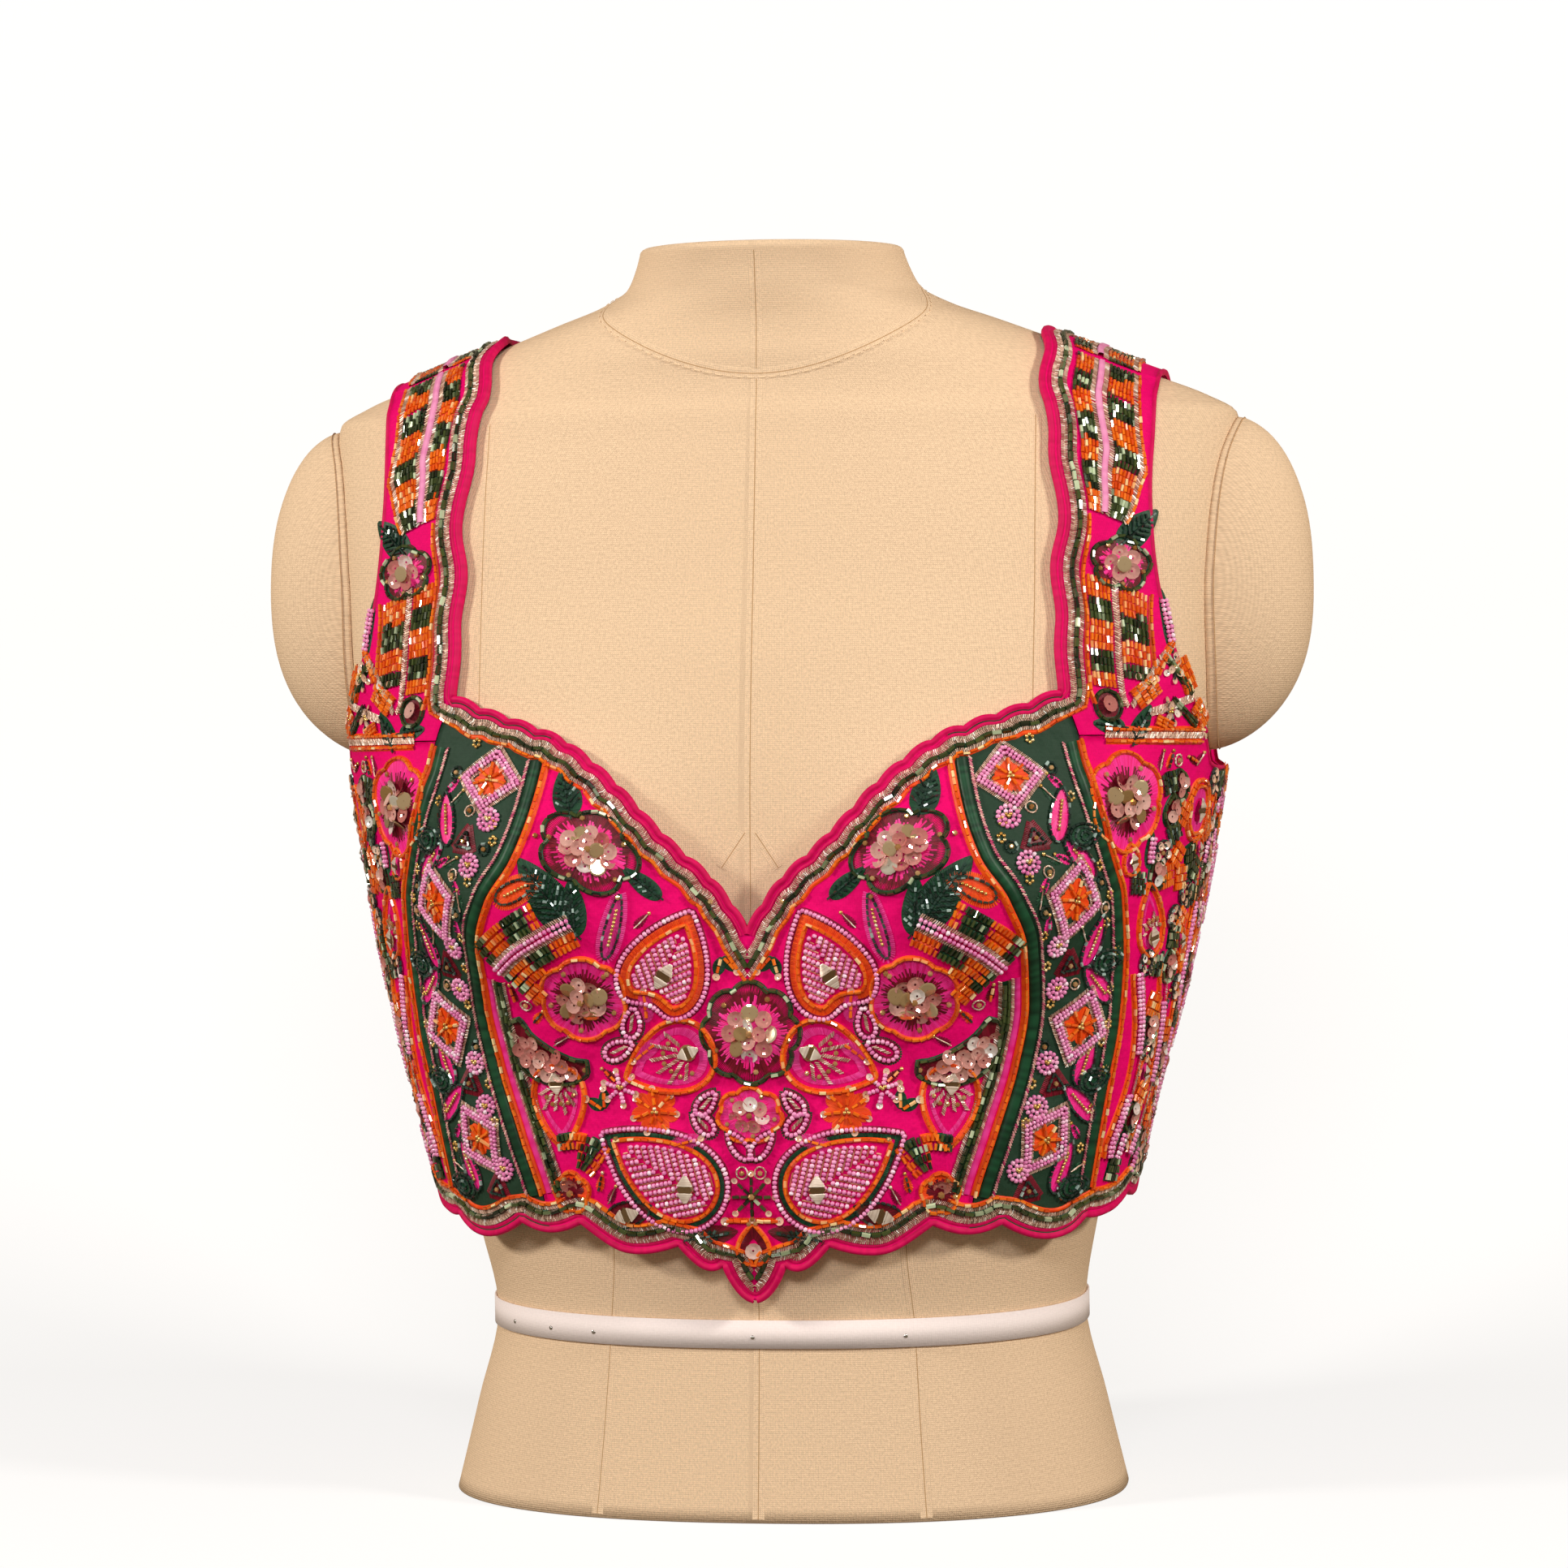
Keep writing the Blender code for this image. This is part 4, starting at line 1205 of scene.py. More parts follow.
def woven(material, scale, strength, shade, pucker=0.0):
    """Adds a plain weave, uneven yarn and the puckers round stitches to a finish."""
    tree = material.node_tree
    shader = tree.nodes["Principled BSDF"]
    place = add_node(tree, "TexCoord").outputs["UV"]
    yarns = [
        add_node(tree, "TexWave", {"Scale": scale, "Distortion": 0.8, "Detail": 1.0},
                 {"Vector": place}, bands_direction=direction).outputs["Fac"]
        for direction in ("X", "Y")
    ]
    weave = add_node(tree, "Math", wires={0: yarns[0], 1: yarns[1]}, operation="MULTIPLY")
    uneven = add_node(tree, "TexNoise", {"Scale": 900.0, "Detail": 3.0}, {"Vector": place})
    relief = add_node(tree, "Math", {1: 2.2}, {0: uneven.outputs["Fac"], 2: weave.outputs[0]},
                      operation="MULTIPLY_ADD").outputs[0]
    bump = add_node(tree, "Bump", {"Strength": strength, "Distance": 0.0003}, {"Height": relief})
    pull = add_node(tree, "TexNoise", {"Scale": 150.0}, {"Vector": place})
    puckers = add_node(tree, "Bump", {"Strength": pucker, "Distance": 0.0020},
                       {"Height": pull.outputs["Fac"], "Normal": bump.outputs["Normal"]})
    tree.links.new(puckers.outputs["Normal"], shader.inputs["Normal"])
    depth = add_node(tree, "MapRange", {"From Min": 0.7, "From Max": 2.1}, {"Value": relief})
    colour = tuple(shader.inputs["Base Color"].default_value)
    mix = add_node(tree, "Mix", {"A": (*(c * shade for c in colour[:3]), 1.0), "B": colour},
                   {"Factor": depth.outputs["Result"]}, data_type="RGBA")
    tree.links.new(mix.outputs["Result"], shader.inputs["Base Color"])


# The third colour of a bead finish is a painted highlight, near white, on a few pieces at random.
FINISHES = {
    "bead_lilac": dict(colour=(0.74, 0.16, 0.43), second=(0.96, 0.40, 0.66), painted_glint=(1.0, 0.80, 0.92),
                       roughness=0.24, coat=0.4),
    "bugle_green": dict(colour=(0.004, 0.009, 0.003), second=(0.070, 0.100, 0.024),
                        painted_glint=(0.70, 0.84, 0.56), roughness=0.10, metallic=0.2, coat=1.0),
    "bugle_orange": dict(colour=(0.72, 0.060, 0.001), second=(0.96, 0.21, 0.006),
                         painted_glint=(1.0, 0.74, 0.36), roughness=0.11, metallic=0.05, coat=1.0),
    "cut_teal": dict(colour=(0.003, 0.010, 0.009), second=(0.030, 0.080, 0.064),
                     painted_glint=(0.55, 0.74, 0.70), roughness=0.09, metallic=0.3, coat=1.0),
    "zari_silver": dict(colour=(0.34, 0.16, 0.10), second=(0.78, 0.54, 0.42), painted_glint=(1.0, 0.94, 0.88),
                        roughness=0.34, metallic=0.2),
    "cord_pink": dict(colour=(0.50, 0.012, 0.13), second=(0.86, 0.54, 0.46), roughness=0.4, metallic=0.1),
    "cord_lilac": dict(colour=(0.76, 0.22, 0.45), second=(0.86, 0.32, 0.55), roughness=0.5, shine=0.3),
    "bead_gold": dict(colour=(0.55, 0.28, 0.05), second=(0.90, 0.62, 0.22), painted_glint=(1.0, 0.92, 0.66),
                      roughness=0.2, metallic=0.6),
    "stone_gold": dict(colour=(0.46, 0.20, 0.05), second=(0.86, 0.54, 0.26), roughness=0.10, metallic=0.6),
    "sequin_rose": dict(colour=(0.66, 0.19, 0.17), second=(0.98, 0.60, 0.53), painted_glint=(1.0, 0.96, 0.92),
                        roughness=0.06, metallic=0.35, coat=1.0, alpha=0.92),
    "sequin_small": dict(colour=(0.76, 0.40, 0.24), second=(0.95, 0.66, 0.52), painted_glint=(1.0, 0.92, 0.86),
                         roughness=0.10, metallic=0.15, coat=1.0, alpha=0.92),
    "disc_gold": dict(colour=(0.50, 0.30, 0.11), second=(0.98, 0.80, 0.52), painted_glint=(1.0, 0.95, 0.82),
                      roughness=0.08, metallic=0.7),
    "mirror": dict(colour=(0.26, 0.15, 0.07), second=(0.44, 0.29, 0.15), roughness=0.08, metallic=0.9),
    "satin_pink": dict(colour=(0.82, 0.004, 0.18), second=(0.95, 0.040, 0.36), roughness=0.42, shine=0.3),
    "satin_rose": dict(colour=(0.72, 0.010, 0.19), second=(0.86, 0.050, 0.34), roughness=0.42, shine=0.3),
    # Dark wine satin for small leaves; as the strip under lilac beads it is partly painted shadow
    "satin_wine": dict(colour=(0.17, 0.001, 0.022), second=(0.30, 0.002, 0.05), roughness=0.5, shine=0.15),
    "satin_maroon": dict(colour=(0.090, 0.0008, 0.006), second=(0.22, 0.003, 0.020), roughness=0.4,
                         shine=0.3),
    "satin_orange": dict(colour=(0.78, 0.040, 0.001), second=(0.92, 0.095, 0.003), roughness=0.46, shine=0.3),
    "satin_green": dict(colour=(0.003, 0.026, 0.011), second=(0.011, 0.080, 0.032), roughness=0.44,
                        shine=0.25),
    "zari": dict(colour=(0.68, 0.52, 0.42), second=(0.96, 0.84, 0.72), roughness=0.34, metallic=0.4),
    "zari_fine": dict(colour=(0.62, 0.10, 0.06), second=(0.86, 0.40, 0.26), roughness=0.4, metallic=0.1),
    "rim_pink": dict(colour=(0.54, 0.0010, 0.075), second=(0.68, 0.0015, 0.105), roughness=0.55,
                     shine=0.15),
    "silk_pink": dict(colour=(0.88, 0.0010, 0.165), roughness=0.7, shine=0.07),
    "silk_green": dict(colour=(0.017, 0.050, 0.027), roughness=0.6, shine=0.2),
    "linen": dict(colour=(0.94, 0.685, 0.462), roughness=0.9, shine=0.15),
    "linen_seam": dict(colour=(0.50, 0.30, 0.15), roughness=0.9),
    "linen_thread": dict(colour=(0.86, 0.64, 0.42), roughness=0.7),
    "tape": dict(colour=(0.96, 0.85, 0.84), roughness=0.7),
    "steel": dict(colour=(0.62, 0.60, 0.58), roughness=0.2, metallic=1.0),
}
WEAVES = {
    # name: scale, strength and shade of the weave, and how much stitches pucker it
    "silk_pink": (560.0, 0.12, 0.80, 0.5),
    "silk_green": (560.0, 0.12, 0.80, 0.5),
    "linen": (400.0, 0.42, 0.70),
    "tape": (500.0, 0.15, 0.90),
}
MATERIALS = {}


def material(name):
    """The finish of that name, made when first asked for."""
    if name not in MATERIALS:
        MATERIALS[name] = finish(name, **FINISHES[name])
        if name in WEAVES:
            woven(MATERIALS[name], *WEAVES[name])
    return MATERIALS[name]


# Cloth panels


def settle(edge, angle_of, height):
    """The height where an edge that depends on the angle meets a line that depends on it."""
    for _ in range(25):
        height = 0.5 * height + 0.5 * edge(angle_of(height), height)
    return height


def cloth_piece(name, angle_of, low, high, starts, columns, rows, side, silk, slot):
    """A fine cloth wall through a grid of angles and heights, standing for its solid."""
    bottom = settle(low, angle_of, np.full(columns, starts[0]))
    top = settle(high, angle_of, np.full(columns, starts[1]))
    share = np.linspace(0, 1, rows)[:, None]
    heights = bottom[None, :] * (1 - share) + top[None, :] * share
    angles = angle_of(heights)
    inner = on_surface(cloth_radius, angles, heights)
    shell(name, inner, side, silk, slot)


def shell(name, inner, side, silk, slot, lift=0.0, thick=None):
    """A closed wall with the given inside, mirrored for the wearer's right."""
    away = normals(inner)
    base = inner + away * lift
    top = wall_top(inner) if thick is None else thick
    outer = base + away * np.reshape(top, inner.shape[:2] + (1,) if np.ndim(top) else (1,))
    rows, columns = inner.shape[:2]
    flip = np.array((side, 1.0, 1.0))
    spots = np.stack((np.arctan2(inner[..., 0], -inner[..., 1]) * 0.15, inner[..., 2]), axis=-1)
    heap = Heap()
    points = np.concatenate((base.reshape(-1, 3), outer.reshape(-1, 3))) * flip
    quads = grid_faces(rows, columns)
    count = rows * columns
    rim = np.concatenate((
        np.arange(columns),
        np.arange(1, rows) * columns + columns - 1,
        (rows - 1) * columns + np.arange(columns - 2, -1, -1),
        np.arange(rows - 2, 0, -1) * columns,
    ))
    after = np.roll(rim, -1)
    edge = np.stack((rim, after, after + count, rim + count), axis=-1)
    inside = quads[:, ::-1] if side > 0 else quads
    outside_quads = (quads if side > 0 else quads[:, ::-1]) + count
    faces = np.concatenate((inside, outside_quads, edge if side < 0 else edge[:, ::-1]))
    heap.add(points, faces, None, np.concatenate((spots.reshape(-1, 2),) * 2))
    panel = heap.build(name, material(silk), slot=slot, stands_for=(name,))


def hem_edge(angle, height):
    """The hem as an edge for settle."""
    return hem_height(angle)


def neck_edge(angle, height):
    """The neckline as an edge for settle."""
    return neckline_height(cloth_radius(angle, height) * np.sin(angle))


def seam_angle(column, height, shift):
    """The angle of a band seam, moved sideways by shift."""
    return angle_at(table(BAND_SEAMS, column, height) + shift, height)


def between(first, last, count):
    """Angles shared out evenly between two angles that depend on the height."""
    share = np.linspace(0, 1, count)

    def angle_of(height):
        return first(height) * (1 - share) + last(height) * share

    return angle_of


def build_cloth():
    """Every cloth panel, in place of its solid."""
    gap = SEAM_GAP / 2
    centre = between(lambda h: -seam_angle(1, h, -gap), lambda h: seam_angle(1, h, -gap), 150)
    cloth_piece("centre_front", centre, hem_edge, neck_edge, (0.11, 0.27), 150, 72, 1.0,
                "silk_pink", "pink_silk")
    for name, side in (("left", 1.0), ("right", -1.0)):
        band = between(lambda h: seam_angle(1, h, gap), lambda h: seam_angle(2, h, -gap), 24)
        cloth_piece("front_band_" + name, band, hem_edge, neck_edge, (0.11, 0.30), 24, 80, side,
                    "silk_green", "green_silk")
        flank = between(lambda h: seam_angle(2, h, gap),
                        lambda h: SIDE_SEAM - gap / cloth_radius(SIDE_SEAM, h), 36)
        cloth_piece("side_front_" + name, flank, hem_edge,
                    lambda a, h: table(SIDE_FRONT_TOP, 1, np.degrees(a)) - gap,
                    (0.115, 0.29), 36, 64, side, "silk_pink", "pink_silk")
        rear = between(lambda h: SIDE_SEAM + gap / cloth_radius(SIDE_SEAM, h),
                       lambda h: math.pi - gap / cloth_radius(math.pi, h), 90)
        cloth_piece("back_" + name, rear, hem_edge,
                    lambda a, h: table(BACK_TOP, 1, np.degrees(a)) - gap,
                    (0.12, 0.27), 90, 44, side, "silk_pink", "pink_silk")
        strap = strap_points(np.linspace(0.0006, 0.9994, 220)[:, None], np.linspace(0, 1, 16)[None, :])
        shell("strap_" + name, strap[:, ::-1], side, "silk_pink", "pink_silk")
    bottom = float(hem_height(np.array(math.pi))) + PLACKET_END_GAP
    heights = np.linspace(bottom, BACK_TOP[-1, 1] - PLACKET_END_GAP / 2, 40)[:, None]
    across = np.linspace(-0.5, 0.5, 9)[None, :] * PLACKET_WIDTH
    angles = math.pi + across / cloth_radius(np.array(math.pi), heights)
    strip = on_surface(cloth_radius, angles, heights + 0 * across)
    shell("back_placket", strip, 1.0, "silk_pink", "pink_silk",
          lift=CLOTH_WALL + PLACKET_GAP, thick=PLACKET_THICKNESS)


# The dress form


def bare(points):
    """No wall: strips lie on the form's own skin."""
    return np.zeros(points.shape[:-1])


def form_side(y, height):
    """How far out the form's side is, at this depth and height."""
    half_width, front, rear, power = (table(FORM_SECTIONS, i, height) for i in (1, 2, 3, 4))
    offset = y - AXIS_Y - table(FORM_SECTIONS, 5, height)
    depth = np.where(offset < 0, front, rear)
    return half_width * np.maximum(1 - np.abs(offset / depth) ** power, 0) ** (1 / power)


def cap_grid(share, spokes, bulging=True):
    """Points of the left shoulder end; share runs from its middle to its rim."""
    y = AXIS_Y + CAP_SET_BACK + share * CAP_HALF_DEPTH * np.cos(spokes)
    z = CAP_HEIGHT + share * CAP_HALF_HEIGHT * np.sin(spokes)
    x = form_side(y, z) + CAP_GAP
    if bulging:
        dome = (1 - np.clip(share, 0, 1) ** 2.4) ** 0.6
        x = x + CAP_BULGE * dome * (1 - CAP_LOWER_FULLNESS * share * np.sin(spokes))
    return np.stack((x, y + 0 * x, z + 0 * x), axis=-1)


def build_form():
    """The linen-covered torso, its shoulder ends, seams and tape."""
    rows, columns = 130, 150
    knots = np.minimum(FORM_SECTIONS[:, 0], FORM_HEIGHT - NECK_EDGE)
    heights = np.interp(np.linspace(0, len(knots) - 1, rows), np.arange(len(knots)), knots)
    angles = (turned(columns) + math.pi) % (2 * math.pi) - math.pi
    body = on_surface(form_radius, angles[None, :], heights[:, None] + 0 * angles[None, :])
    middle = body[-1].mean(axis=0)
    rims = []
    for share in np.linspace(0.2, 1.0, 5):
        rim = body[-1].copy()
        shrink = 1 - NECK_EDGE * (1 - math.cos(share * math.pi / 2)) / FORM_SECTIONS[-1, 1]
        rim[:, :2] = middle[:2] + (rim[:, :2] - middle[:2]) * shrink
        rim[:, 2] = FORM_HEIGHT - NECK_EDGE * (1 - math.sin(share * math.pi / 2))
        rims.append(rim)
    edge = rims[-1].copy()
    edge[:, :2] = middle[:2] + (edge[:, :2] - middle[:2]) * 0.985
    rims.append(edge)
    lid = edge.copy()
    lid[:, :2] = middle[:2] + (lid[:, :2] - middle[:2]) * 0.999
    rims.append(lid)
    flat = lid.copy()
    flat[:, :2] = middle[:2]
    floor = body[0] * (0.0, 0.0, 1.0)
    foot = body[0] * (0.99, 0.99, 1.0)
    grid = np.concatenate((floor[None], foot[None], body, np.array(rims), flat[None]))
    spots = np.stack(np.broadcast_arrays(np.unwrap(angles)[None] * 0.13, grid[..., 2]), axis=-1)
    # The weave runs straight across the flat lid of the neck
    spots[-2:] = grid[-2:, :, :2]
    heap = Heap()
    heap.add(grid, grid_faces(len(grid), columns, across=True), None, spots)
    heap.build("form_torso", material("linen"), slot="linen", stands_for=("form_torso",))
    for name, side in (("left", 1.0), ("right", -1.0)):
        spokes = turned(72)[None, :]
        share = np.sin(np.linspace(1, 0, 26) * math.pi / 2)[:, None]
        dome = cap_grid(share, spokes)
        rim = cap_grid(np.array([[1.0]]), spokes, bulging=False)
        core = cap_grid(np.array([[0.0]]), spokes, bulging=False)
        grid = np.concatenate((core, rim, dome[1:]))
        spots = np.stack((grid[..., 1], grid[..., 2]), axis=-1)
        heap = Heap()
        heap.add(grid * (side, 1, 1), grid_faces(len(grid), 72, across=True), None, spots)
        node = "form_shoulder_" + name
        heap.build(node, material("linen"), slot="linen", stands_for=(node,))
    build_form_seams()
    build_tape()


def form_line(angles, heights):
    """A line on the form's skin."""
    return on_surface(form_radius, np.asarray(angles, float), np.asarray(heights, float))


def build_form_seams():
    """The dark lines, soft lips and stitches where the form's cover is sewn."""
    lips = Heap()
    line = Heap()
    stitches = Heap()
    lip = ((-0.0024, 0.00002), (-0.0010, 0.00022), (-0.0003, 0.00014), (0.0003, 0.00014),
           (0.0010, 0.00022), (0.0024, 0.00002))
    dark = ((-0.00018, 0.00018), (0.0, 0.00024), (0.00018, 0.00018))
    round_neck = np.linspace(-math.pi, math.pi, 300)
    toward = np.cos(round_neck)
    neck_heights = 0.4760 - 0.035 * np.maximum(toward, 0) ** 1.7 - 0.010 * np.maximum(-toward, 0) ** 2
    t = np.linspace(0, 1, 120)
    upper = 0.425 - 0.150 * t
    lower = 0.215 - 0.215 * t
    paths = [
        (form_line(round_neck, neck_heights), False),
        (form_line(0 * t, 0.4405 - 0.4405 * t), False),
        (form_line(0 * t, 0.4900 - 0.0485 * t), False),
        (form_line(0 * t + math.pi, 0.484 - 0.484 * t), False),
        (form_line(angle_at(0.1085 + 0 * t, upper), upper), True),
        (form_line(0.60 + 0.02 * t, lower), True),
        (form_line(0.01 + 0.10 * t, 0.2660 - 0.0160 * t), True),
        (form_line(2.35 + 0.05 * np.sin(3 * t), 0.425 - 0.425 * t), True),
        (form_line(0.5 * math.pi + 0 * t, 0.475 - 0.065 * t), True),
    ]
    for path, both in paths:
        ribbon(lips, path, lip, both=both, radius_of=form_radius, base=bare, pitch=0.003)
        ribbon(line, path, dark, both=both, radius_of=form_radius, base=bare, pitch=0.003)
    places, ahead, _ = spaced(paths[0][0], 0.0042)
    up = normals(places, form_radius)
    side = np.cross(ahead, up)
    stamp(stitches, LOOP, places + side * 0.0016 + up * 0.0004, ahead, up, 1.0, 0.0026, 0.0007, 0.0006)
    for flip in (1.0, -1.0):
        spokes = np.linspace(-0.5 * math.pi, 1.5 * math.pi, 140)
        ring = cap_grid(np.full(140, 0.992), spokes)
        centre = ring.mean(axis=0)
        outward = unit(ring - centre)
        crest = unit(outward * 0.6 + np.array((0.8, 0, 0)))
        width = 0.0005
        strip = np.stack((ring - outward * width, ring + crest * width * 0.7,
                          ring + outward * width), axis=1)
        line.add(strip * (flip, 1, 1), grid_faces(140, 3))
    lips.build("form_seam_lips", material("linen"), slot="linen")
    line.build("form_seam_lines", material("linen_seam"), slot="linen")
    stitches.build("form_neck_stitches", material("linen_thread"), slot="linen")


def build_tape():
    """The flat tape round the waist, and the pins that hold it."""
    angles = (turned(160) + math.pi) % (2 * math.pi) - math.pi
    loops = []
    for thickness, level in ((0, -0.5), (0, 0.5), (1, 0.5), (1, -0.5)):
        skin = form_line(angles, np.full_like(angles, TAPE_HEIGHT + level * TAPE_WIDTH))
        away = normals(skin, form_radius)
        away[:, 2] = 0.0
        loops.append(skin + away * (TAPE_GAP + thickness * TAPE_THICKNESS))
    grid = np.array(loops)
    spots = np.stack(np.broadcast_arrays(np.unwrap(angles)[None] * 0.12, grid[..., 2]), axis=-1)
    heap = Heap()
    heap.add(grid, grid_faces(4, 160, across=True, along=True), None, spots)
    heap.build("waist_tape", material("tape"), slot="tape", stands_for=("waist_tape",))
    turns = np.radians((-62.0, -50.0, -39.0, -1.5, 33.0))
    skin = form_line(turns, np.full_like(turns, TAPE_HEIGHT - 0.0012))
    away = normals(skin, form_radius)
    pins = Heap()
    stamp(pins, STONE, skin + away * (TAPE_GAP + TAPE_THICKNESS - 0.0001), np.array((0.0, 0, 1.0)),
          away, 1.0, 0.0020, 0.0020, 0.0012)
    pins.build("tape_pins", material("steel"))


def stamp(heap, shape, places, along, up, size, length, width, height):
    """Copies of a small shape at places, each turned to its own directions."""
    points, faces = shape
    count = len(places)
    along = np.broadcast_to(along, places.shape)
    up = np.broadcast_to(up, places.shape)
    side = unit(np.cross(up, along))
    along = np.cross(side, up)
    sizes = np.broadcast_to(size, (count,))[:, None, None]
    local = (points * (length, width, height))[None] * sizes
    spread = local[..., :1] * along[:, None] + local[..., 1:2] * side[:, None]
    placed = places[:, None] + spread + local[..., 2:] * up[:, None]
    tints = np.repeat(RANDOM.uniform(0, 1, count), len(points))
    offsets = len(points) * np.arange(count)[:, None, None]
    heap.add(placed, (faces[None] + offsets).reshape(-1, 4), tints)


# Groups of embroidery

# Sections of the rolled rim and of the armhole piping: sideways, height
RIM = ((-0.0010, -0.0021), (-0.0014, -0.0008), (-0.0011, 0.0006), (-0.0002, 0.0012),
       (0.0008, 0.0008), (0.0013, -0.0001), (0.0016, -0.0001), (0.0023, 0.0004), (0.0030, 0.0003),
       (0.0034, -0.0003))
PIPING = ((-0.0006, -0.0019), (-0.0009, -0.0006), (-0.0004, 0.0004), (0.0005, 0.0005),
          (0.0012, -0.0001))
FILLINGS = (
    # beads round a stone, or the satin of a leaf and the beads on it
    ("zari_silver", None),
    ("satin_maroon", "bugle_orange"),
    ("satin_wine", "zari_silver"),
    ("satin_orange", "cut_teal"),
)
BAND_FILLINGS = (
    ("cut_teal", None),
    ("zari_silver", None),
    ("satin_green", "zari_silver"),
    ("satin_pink", "cut_teal"),
)


def past_centre(path):
    """The neck path with a straight run across the centre, so that both sides meet in a mitre."""
    steps = np.linspace(0.016, 0.0004, 30)
    fall = (NECKLINE[1, 1] - NECKLINE[0, 1]) / (NECKLINE[1, 0] - NECKLINE[0, 0])
    heights = path[0, 2] - fall * steps
    run = on_surface(cloth_radius, angle_at(-steps, heights), heights)
    return np.concatenate((run, path))


def this_side(path, shift):
    """A line beside a path, kept to the wearer's left of the centre."""
    line = beside(path, shift)
    return line[line[:, 0] > 0.0003]


def build_edging():
    """The rolled pink rim and the rows beside it, round the neck and the hem."""
    rim = Heap()
    neck = neck_path()
    for path, edge in ((past_centre(neck), neck), (hem_path(), hem_path())):
        ribbon(rim, edge, RIM, pitch=0.0013)
        for shift, slant in ((0.0041, 74), (0.0052, 106), (0.0088, 70)):
            row("zari_silver", this_side(path, shift), slant=slant, lift=0.0002, size=0.86)
        line = this_side(path, 0.0070)
        ground("satin_green", line, -0.0011, 0.0011)
        row("bugle_green", line, lift=0.0005, size=1.3)
        line = this_side(path, 0.0103)
        front = line[(line[:, 1] < -0.02) & (line[:, 2] < 0.320)]
        orange_line(front, skip=lambda at: (at // 0.011) % 5 > 3)
    armhole = strap_edge(1.0)[::-1]
    angles = np.radians(np.linspace(74.5, 105.0, 60))
    heights = np.where(angles < SIDE_SEAM, table(SIDE_FRONT_TOP, 1, np.degrees(angles)),
                       table(BACK_TOP, 1, np.degrees(angles)))
    under = on_surface(cloth_radius, angles, heights)
    for path in (armhole, under[::-1]):
        ribbon(rim, path, PIPING, pitch=0.002)
    rim.build("rim_pink", material("rim_pink"), slot="pink_silk")


def on_band(share, height, tilt=0.0):
    """A site on the left band, at a share of the way from its inner to its outer seam."""
    angle = seam_angle(1, height, 0) * (1 - share) + seam_angle(2, height, 0) * share
    return Site(on_surface(cloth_radius, angle, height), tilt)


def gold_knot(spot):
    """A small ring of gold beads."""
    spot.put("bead_gold", ring_spots(0.0013, 0.0016, 6), lift=0.0006, size=0.9)


def build_bands():
    """What is sewn on the green bands and along their seams."""
    inner = seam_line(1, 0.125, 0.292)
    outer = seam_line(2, 0.125, 0.299)
    for line, side in ((inner, 1), (outer, -1)):
        ground("satin_orange", line, -0.0016, 0.0016, height=0.0010)
        row("bugle_orange", line, lift=0.0009)
        first, last = sorted((side * 0.0018, side * 0.0062))
        ground("satin_green", line, first, last, height=0.0011)
        row("cord_pink", line, shift=side * 0.0073, slant=40, lift=0.0003)
    low_seam = seam_line(1, 0.125, 0.212)
    ground("satin_rose", low_seam, -0.0046, -0.0019)
    row("zari_silver", low_seam, shift=-0.0053, slant=60, size=0.8)
    ground("satin_green", low_seam, -0.0098, -0.0060)
    row("bugle_green", low_seam, shift=-0.0070, lift=0.0006, size=1.1)
    row("bugle_green", low_seam, shift=-0.0088, lift=0.0006, size=1.1, stagger=0.5)
    row("zari_silver", low_seam, shift=-0.0104, slant=60)
    levels = (
        # height of a lozenge, share across, half_width, half_height, tilt
        (0.2847, 0.40, 0.0128, 0.0122, 6.0),
        (0.2386, 0.52, 0.0132, 0.0152, -10.0),
        (0.1895, 0.55, 0.0125, 0.0145, -16.0),
        (0.1460, 0.46, 0.0105, 0.0150, -34.0),
    )
    for height, share, half_width, half_height, tilt in levels:
        diamond(on_band(share, height, tilt), half_width, half_height)
    for height, last in ((0.2620, False), (0.2140, False), (0.1678, False), (0.1268, True)):
        bead_flower(on_band(0.30, height + 0.0078), 0.0040)
        if not last:
            bead_flower(on_band(0.30, height - 0.0092), 0.0040)
        triangle(on_band(0.42, height - 0.0004, 8.0), 0.0064)
        eye(on_band(0.67, height + 0.0084, -16.0), 0.0108, 0.0042)
        if not last:
            eye(on_band(0.70, height - 0.0084, 46.0), 0.0104, 0.0040)
        emerald = on_band(0.80, height + 0.0002, -78.0)
        radial_satin("satin_green", emerald, pear(0.0040, 0.0066, 0.6), 0.05, 1.0, lift=0.0008)
        for share in (1.12, 0.72, 0.34):
            edge_row("cut_teal", emerald, pear(0.0043 * share, 0.0068 * share, 0.6), lift=0.0008)
        for share, level in ((0.80, 0.0150), (0.84, -0.0110), (0.20, 0.0), (0.24, -0.0150),
                             (0.90, 0.0040)):
            if height + level > 0.131:
                gold_knot(on_band(share, height + level))
    for share, height in ((0.62, 0.2990), (0.25, 0.2680), (0.86, 0.2400), (0.18, 0.2260),
                          (0.84, 0.1895)):
        gold_knot(on_band(share, height))
    free = [on_band(share, height).place for height in np.arange(0.134, 0.292, 0.0048)
            for share in np.linspace(0.24, 0.80, 8)]
    fill_gaps(free, reach=0.0027, fillings=BAND_FILLINGS)


